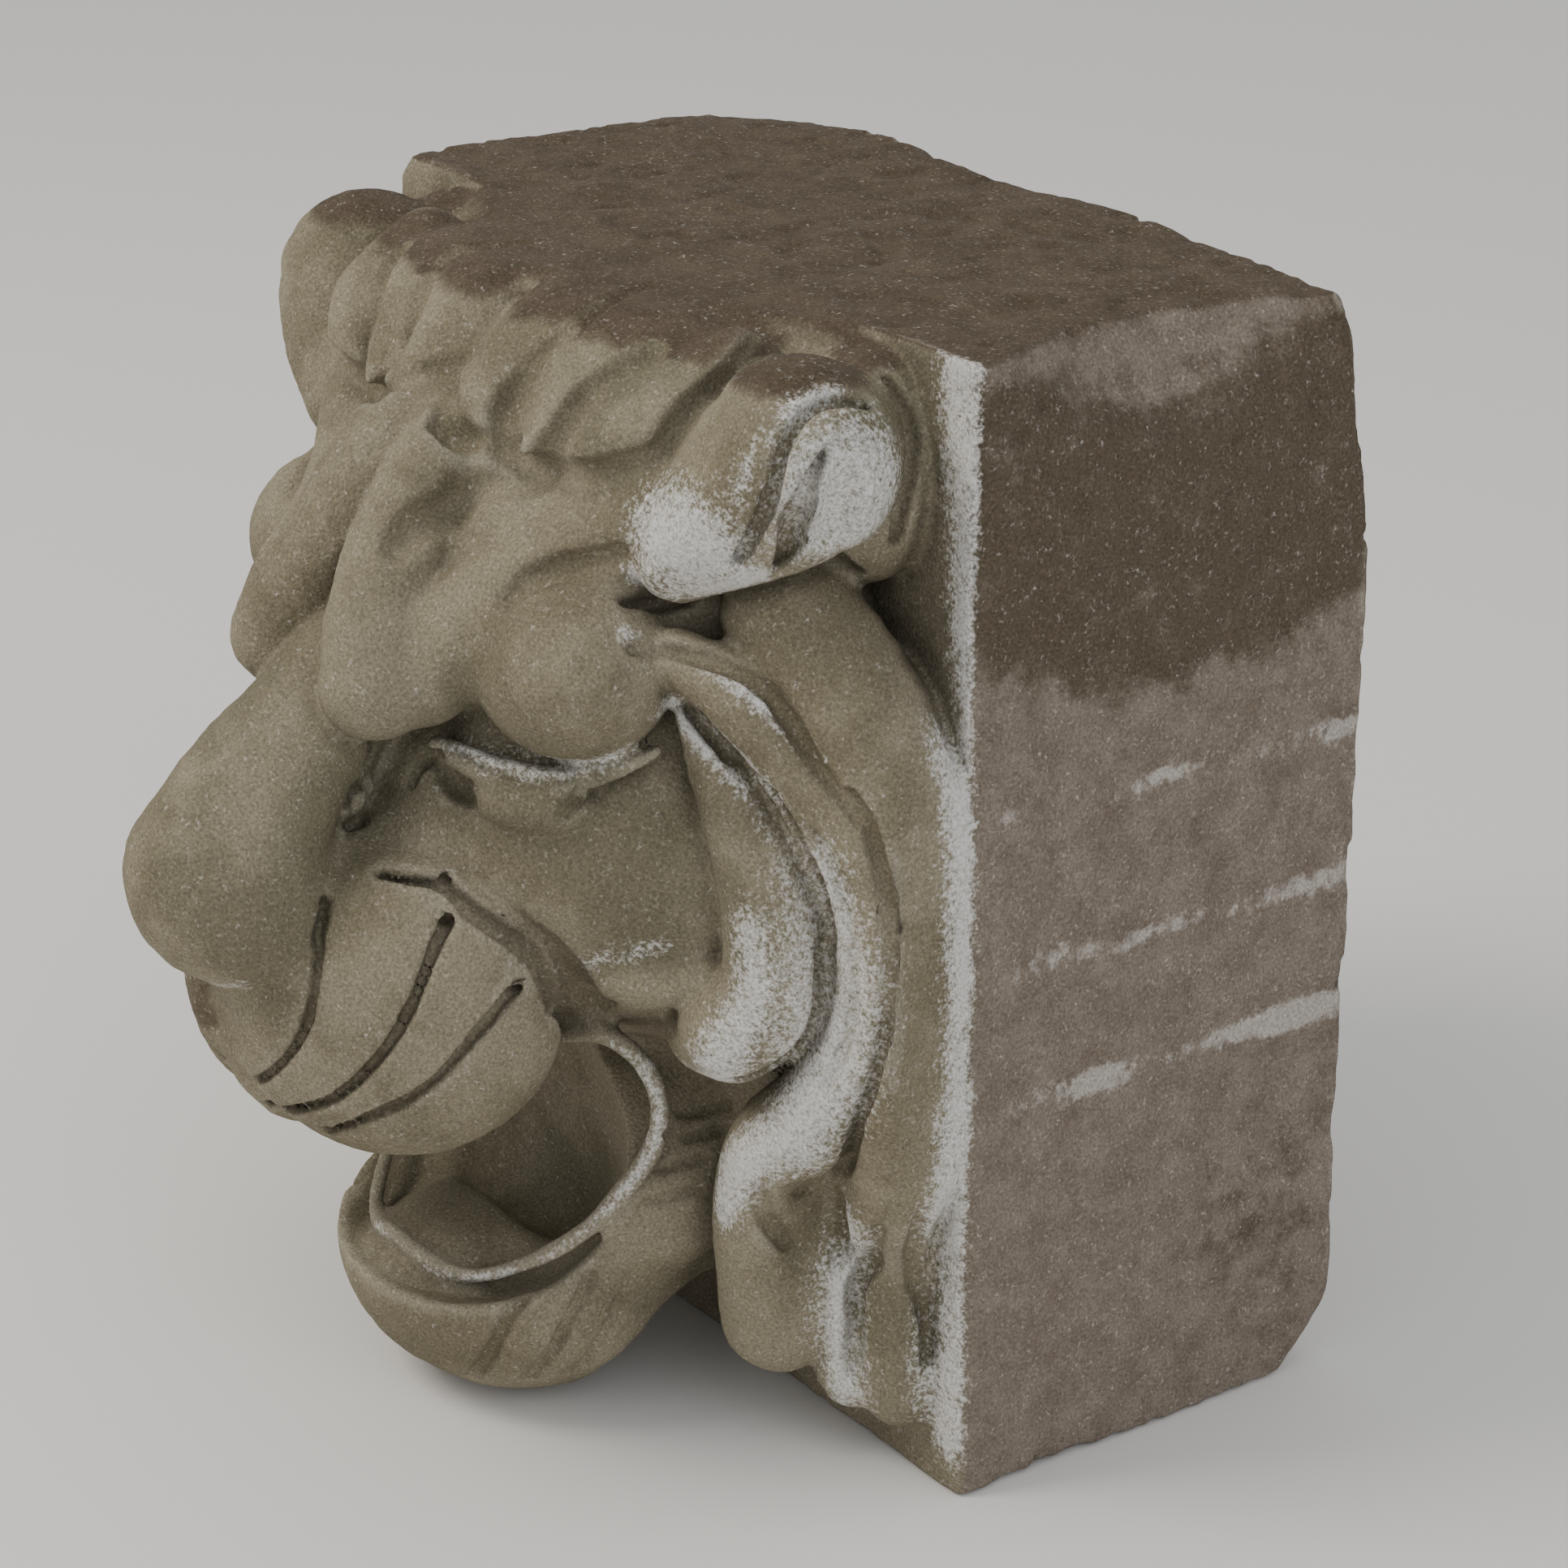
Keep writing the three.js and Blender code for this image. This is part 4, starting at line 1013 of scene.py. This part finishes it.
    def build(self, name: str) -> bpy.types.Object:
        """Builds the mesh, wears it and keeps its hollows, edges and stains with its vertices.

        Args:
            name: the object's name.

        Returns:
            The new object.
        """
        half = np.array([self.head.width / 2, 0, self.head.height / 2])
        margin = 3 * self.grid
        low = np.array([-half[0] - margin, -self.head.projection - margin, -half[2] - margin])
        high = np.array([half[0] + margin, self.block.depth + margin, half[2] + margin])
        vertices, faces = SurfaceNet(self.grid).mesh(self.distance, low, high)
        log.info("net: %d vertices, %d faces", len(vertices), len(faces))
        thick = new_object(name + "_net", vertices, faces)
        worn = self.keep_in(self.roughen(vertices, vertex_normals(thick.data)))
        thick.data.vertices.foreach_set("co", worn.astype(np.float32).ravel())
        thick.modifiers.new("three corners", "TRIANGULATE")
        thin = thick.modifiers.new("fewer faces", "DECIMATE")
        thin.ratio = min(1.0, self.triangles / (2 * len(faces)))
        mesh = bpy.data.meshes.new_from_object(thick.evaluated_get(bpy.context.evaluated_depsgraph_get()))
        bpy.data.objects.remove(thick)
        mesh.name = name
        points = self.keep_in(vertex_places(mesh))
        normals = vertex_normals(mesh)
        facing_up = np.clip((normals[:, 2] - 0.55) / 0.3, 0, 1)
        # how deep each point lies in a hollow, which the material darkens as painted shade
        keep_number(mesh, "hollow", self.hollow(points, normals))
        keep_number(mesh, "edge", self.edge(points, normals))
        keep_number(mesh, "lime", most_of(self.lime(), points) * (1 - self.on_block(points)))
        # soot, and the painted shadow along the top front edge and under the near eye
        keep_number(mesh, "soot_and_shade", most_of(self.soot_and_shade(), points))
        keep_number(mesh, "mortar", self.mortar(points))
        keep_number(mesh, "top", facing_up * np.clip(points[:, 2] - half[2] + 15, 0, 1))
        keep_number(mesh, "bed", self.on_block(points))
        in_frame = (points - np.array([0, self.block.depth, 0])) * MILLIMETRE
        mesh.vertices.foreach_set("co", in_frame.astype(np.float32).ravel())
        mesh.shade_smooth()
        mesh.update()
        stone = bpy.data.objects.new(name, mesh)
        bpy.context.scene.collection.objects.link(stone)
        return stone


def most_of(stains: Iterable[Stain], points: np.ndarray) -> np.ndarray:
    """Gives the strongest of some stains at each point, from 0 to 1."""
    return np.clip(np.max([stain.amount(points) for stain in stains], axis=0), 0, 1)


def new_object(name: str, vertices: np.ndarray, faces: np.ndarray) -> bpy.types.Object:
    """Makes an object of vertices and four-sided faces, linked to the scene.

    Args:
        name: the name of the object and its mesh.
        vertices: places, one row each.
        faces: rows of four vertex numbers.

    Returns:
        The new object.
    """
    mesh = bpy.data.meshes.new(name)
    mesh.vertices.add(len(vertices))
    mesh.vertices.foreach_set("co", vertices.astype(np.float32).ravel())
    mesh.loops.add(4 * len(faces))
    mesh.loops.foreach_set("vertex_index", faces.astype(np.int32).ravel())
    mesh.polygons.add(len(faces))
    mesh.polygons.foreach_set("loop_start", np.arange(0, 4 * len(faces), 4, dtype=np.int32))
    mesh.update(calc_edges=True)
    obj = bpy.data.objects.new(name, mesh)
    bpy.context.scene.collection.objects.link(obj)
    return obj


def vertex_places(mesh: bpy.types.Mesh) -> np.ndarray:
    """Reads the places of a mesh's vertices.

    Args:
        mesh: the mesh.

    Returns:
        The places, one row each.
    """
    flat = np.empty(3 * len(mesh.vertices), dtype=np.float32)
    mesh.vertices.foreach_get("co", flat)
    return flat.reshape(-1, 3).astype(float)


def vertex_normals(mesh: bpy.types.Mesh) -> np.ndarray:
    """Reads the outward directions at a mesh's vertices.

    Args:
        mesh: the mesh.

    Returns:
        The directions, one row each.
    """
    flat = np.empty(3 * len(mesh.vertices), dtype=np.float32)
    mesh.vertex_normals.foreach_get("vector", flat)
    return flat.reshape(-1, 3).astype(float)


def keep_number(mesh: bpy.types.Mesh, name: str, values: np.ndarray) -> None:
    """Keeps a number with each vertex, under a name that a material can read."""
    attribute = mesh.attributes.new(name, "FLOAT", "POINT")
    attribute.data.foreach_set("value", values.astype(np.float32))


# Finishes


def linear(colour: str) -> tuple[float, float, float, float]:
    """Turns an sRGB hex colour to the linear values that a socket takes.

    Args:
        colour: a hash and six hex digits.

    Returns:
        Red, green, blue and full cover.
    """
    channels = (int(colour[i : i + 2], 16) / 255 for i in (1, 3, 5))
    red, green, blue = (c / 12.92 if c <= 0.04045 else ((c + 0.055) / 1.055) ** 2.4 for c in channels)
    return red, green, blue, 1.0


def add_node(
    material: bpy.types.Material,
    kind: str,
    settings: dict[str, object] | None = None,
    links: dict[str | int, object] | None = None,
) -> bpy.types.Node:
    """Adds a node with its settings and its links.

    Args:
        material: the material whose nodes it joins.
        kind: the node's type.
        settings: the node's own properties, by name.
        links: what comes into each of its sockets, an output to link or a value to set there.

    Returns:
        The new node.
    """
    tree = material.node_tree
    node = tree.nodes.new(kind)
    for name, value in (settings or {}).items():
        setattr(node, name, value)
    for name, source in (links or {}).items():
        socket = node.inputs[name]
        if isinstance(source, bpy.types.NodeSocket):
            tree.links.new(source, socket)
        else:
            socket.default_value = source
    return node


@dataclass(frozen=True)
class WeatheredSandstone:
    """Fine-grained building sandstone, chisel-dressed and then weathered for a century or more.

    Quartz grains a quarter of a millimetre across in clay make it fully matt, buff where fresh and grey-green
    where algae and soot have settled; lime washed out of the wall blooms white on the sheltered parts.
    The block's sides and its top bed, which met brick and mortar, are browner and duller than the head.
    Shade is painted dark into its hollows, along the step at the top front edge and under the near eye.
    """

    fresh: str = "#89816d"
    weathered: str = "#736b57"
    algae: str = "#666452"
    # painted shade: the dark colour laid into hollows and creases where shade falls
    hollow_shade: str = "#3a352a"
    bloom: str = "#cfcdc8"
    side: str = "#83796d"
    side_dull: str = "#6d6256"
    mortar: str = "#b1aba2"
    # soot, also the colour of the painted shadow along the top front edge and under the near eye
    soot_and_shade: str = "#4d4334"
    bed: str = "#5c5143"
    bed_dull: str = "#493f32"
    arris: str = "#a9a392"
    roughness: float = 0.93

    def material(self) -> bpy.types.Material:
        """Builds the node material.

        Returns:
            The material.
        """
        stone = bpy.data.materials.new("weathered_sandstone")
        stone.use_nodes = True
        stone.node_tree.nodes.clear()
        place = add_node(stone, "ShaderNodeTexCoord").outputs["Object"]
        kept = {
            name: add_node(stone, "ShaderNodeAttribute", {"attribute_name": name}).outputs["Fac"]
            for name in ("hollow", "edge", "lime", "soot_and_shade", "mortar", "top", "bed")
        }
        # lumps of colour from hand-wide patches down to sand grains, which are drawn 1.6 mm across because
        # a real quarter of a millimetre doesn't show
        noise = {
            size: add_node(
                stone, "ShaderNodeTexNoise",
                links={
                    "Vector": place, "Scale": 1 / (size * MILLIMETRE), "Detail": detail, "Roughness": rough,
                },
            ).outputs["Fac"]
            for size, detail, rough in (
                (140, 3, 0.55), (70, 5, 0.6), (22, 6, 0.7), (6, 4, 0.6), (3.2, 3, 0.7), (1.6, 2, 0.6),
            )
        }
        # where the bloom, the soot and the painted shadow end is broken up by the grain
        broken = {
            name: add_node(
                stone, "ShaderNodeMath", {"operation": "MULTIPLY_ADD"},
                {0: noise[size], 1: amount, 2: kept[name]},
            ).outputs[0]
            for name, size, amount in (("lime", 3.2, 2.0), ("soot_and_shade", 22, 1.4), ("mortar", 6, 1.2))
        }
        # each layer's cover grows smoothly from none at the first value to its most at the second
        steps = {
            name: add_node(
                stone, "ShaderNodeMapRange", {"interpolation_type": "SMOOTHSTEP"},
                {"Value": value, "From Min": low, "From Max": high, "To Min": 0.0, "To Max": most},
            ).outputs["Result"]
            for name, value, low, high, most in (
                ("weathered", noise[70], 0.38, 0.62, 1.0),
                ("algae", noise[140], 0.50, 0.70, 0.40),
                ("dull", noise[22], 0.25, 0.75, 1.0),
                # soot, and the painted shadow along the top front edge and under the near eye
                ("soot_and_shade", broken["soot_and_shade"], 0.95, 1.50, 0.80),
                ("mortar", broken["mortar"], 0.85, 1.25, 0.80),
                # painted shade, deepest in the hollows
                ("hollow", kept["hollow"], 0.32, 1.0, 0.58),
                ("edge", kept["edge"], 0.10, 1.0, 0.30),
                ("lime", broken["lime"], 1.25, 1.95, 0.82),
                ("thin lime", broken["lime"], 1.12, 1.65, 0.32),
            )
        }
        flat_bed = add_node(
            stone, "ShaderNodeMix", {"data_type": "RGBA"},
            {0: steps["dull"], 6: linear(self.bed), 7: linear(self.bed_dull)},
        ).outputs[2]
        side = add_node(
            stone, "ShaderNodeMix", {"data_type": "RGBA"},
            {0: steps["dull"], 6: linear(self.side), 7: linear(self.side_dull)},
        ).outputs[2]
        # each layer lies over the ones before it
        colour = linear(self.fresh)
        for amount, over in (
            (steps["weathered"], linear(self.weathered)),
            (steps["algae"], linear(self.algae)),
            (kept["bed"], side),
            # soot, with painted shadow along the top front edge and under the near eye
            (steps["soot_and_shade"], linear(self.soot_and_shade)),
            (kept["top"], flat_bed),
            (steps["mortar"], linear(self.mortar)),
            (steps["edge"], linear(self.arris)),
            (steps["thin lime"], linear(self.bloom)),
            (steps["lime"], linear(self.bloom)),
            # painted shade darkens the hollows over every other layer
            (steps["hollow"], linear(self.hollow_shade)),
        ):
            colour = add_node(
                stone, "ShaderNodeMix", {"data_type": "RGBA"}, {0: amount, 6: colour, 7: over},
            ).outputs[2]
        # single grains are lighter or darker than the clay between them
        speckle = add_node(
            stone, "ShaderNodeMapRange",
            links={"Value": noise[1.6], "From Min": 0.3, "From Max": 0.7, "To Min": 0.3, "To Max": 0.7},
        ).outputs["Result"]
        colour = add_node(
            stone, "ShaderNodeMix", {"data_type": "RGBA", "blend_type": "OVERLAY"},
            {0: 0.75, 6: colour, 7: speckle},
        ).outputs[2]
        relief = add_node(
            stone, "ShaderNodeMath", {"operation": "MULTIPLY_ADD"}, {0: noise[6], 1: 0.9, 2: noise[1.6]},
        ).outputs[0]
        bump = add_node(
            stone, "ShaderNodeBump", links={"Height": relief, "Distance": 1.0 * MILLIMETRE, "Strength": 0.8},
        )
        shader = add_node(
            stone, "ShaderNodeBsdfPrincipled",
            links={
                "Base Color": colour, "Roughness": self.roughness, "Specular IOR Level": 0.2,
                "Normal": bump.outputs["Normal"],
            },
        )
        add_node(stone, "ShaderNodeOutputMaterial", links={"Surface": shader.outputs[0]})
        return stone


# Studio


@dataclass(frozen=True)
class Studio:
    """Plain pale floor, soft lights and a camera where the photograph was taken from."""

    camera_place: Point = (1.6699, -1.36096, 0.81599)
    azimuth: float = 54.63
    elevation: float = 21.96
    focal_length: float = 93.54
    floor_colour: str = "#e9e7e3"
    floor_reach: float = 30.0
    aim: Point = (0, -0.3, 0)

    def camera(self) -> bpy.types.Object:
        """Puts the camera at the photograph's place and angle.

        Returns:
            The camera, made the scene's own.
        """
        data = bpy.data.cameras.new("photograph")
        data.sensor_width = 36
        data.lens = self.focal_length
        camera = bpy.data.objects.new("photograph", data)
        bpy.context.scene.collection.objects.link(camera)
        around, above = math.radians(self.azimuth), math.radians(self.elevation)
        forward = Vector((
            -math.sin(around) * math.cos(above), math.cos(around) * math.cos(above), -math.sin(above),
        ))
        right = forward.cross(Vector((0, 0, 1))).normalized()
        up = right.cross(forward)
        turn = Matrix((right, up, -forward)).transposed().to_4x4()
        turn.translation = Vector(self.camera_place)
        camera.matrix_world = turn
        bpy.context.scene.camera = camera
        return camera

    def floor(self, height: float) -> bpy.types.Object:
        """Lays the floor.

        Args:
            height: where it lies, in metres.

        Returns:
            The floor, which isn't part of the object.
        """
        mesh = bpy.data.meshes.new("floor")
        far = self.floor_reach
        corners = [(-far, -far, height), (far, -far, height), (far, far, height), (-far, far, height)]
        mesh.from_pydata(corners, [], [(0, 1, 2, 3)])
        floor = bpy.data.objects.new("floor", mesh)
        bpy.context.scene.collection.objects.link(floor)
        paper = bpy.data.materials.new("studio_paper")
        paper.use_nodes = True
        shader = paper.node_tree.nodes["Principled BSDF"]
        shader.inputs["Base Color"].default_value = linear(self.floor_colour)
        shader.inputs["Roughness"].default_value = 0.9
        mesh.materials.append(paper)
        return floor

    def lamp(self, name: str, place: Point, size: float, power: float, colour: str = "#ffffff") -> None:
        """Hangs a square soft light that faces the stone.

        Args:
            name: the lamp's name.
            place: where it hangs, in metres.
            size: its side, in metres.
            power: its power, in watts.
            colour: its sRGB hex colour.
        """
        data = bpy.data.lights.new(name, "AREA")
        data.size = size
        data.energy = power
        data.color = linear(colour)[:3]
        lamp = bpy.data.objects.new(name, data)
        lamp.location = place
        lamp.rotation_euler = (Vector(self.aim) - Vector(place)).to_track_quat("-Z", "Y").to_euler()
        bpy.context.scene.collection.objects.link(lamp)

    def light(self) -> None:
        """Sets the sky's light and the lamps."""
        world = bpy.data.worlds.new("studio")
        world.use_nodes = True
        background = world.node_tree.nodes["Background"]
        background.inputs["Color"].default_value = linear("#f2f3f5")
        background.inputs["Strength"].default_value = 0.75
        bpy.context.scene.world = world
        self.lamp("key", place=(-1.2, -2.6, 3.0), size=1.6, power=90, colour="#fff8ee")
        self.lamp("fill", place=(3.0, -0.6, 1.6), size=2.4, power=26, colour="#f4f7ff")


def main() -> None:
    """Builds the scene: camera, studio, then the stone and its finish."""
    logging.basicConfig(level=logging.INFO, format="%(name)s: %(message)s")
    studio = Studio()
    studio.camera()
    studio.floor(CAD_BOX[0].z)
    studio.light()
    stone = Stone(LionHead(), Block())
    corbel = stone.build("corbel_stone")
    corbel.data.materials.append(WeatheredSandstone().material())
    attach(corbel, "root")
    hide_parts(NODE)
    log.info("corbel: %d faces", len(corbel.data.polygons))


if __name__ == "__main__":
    main()
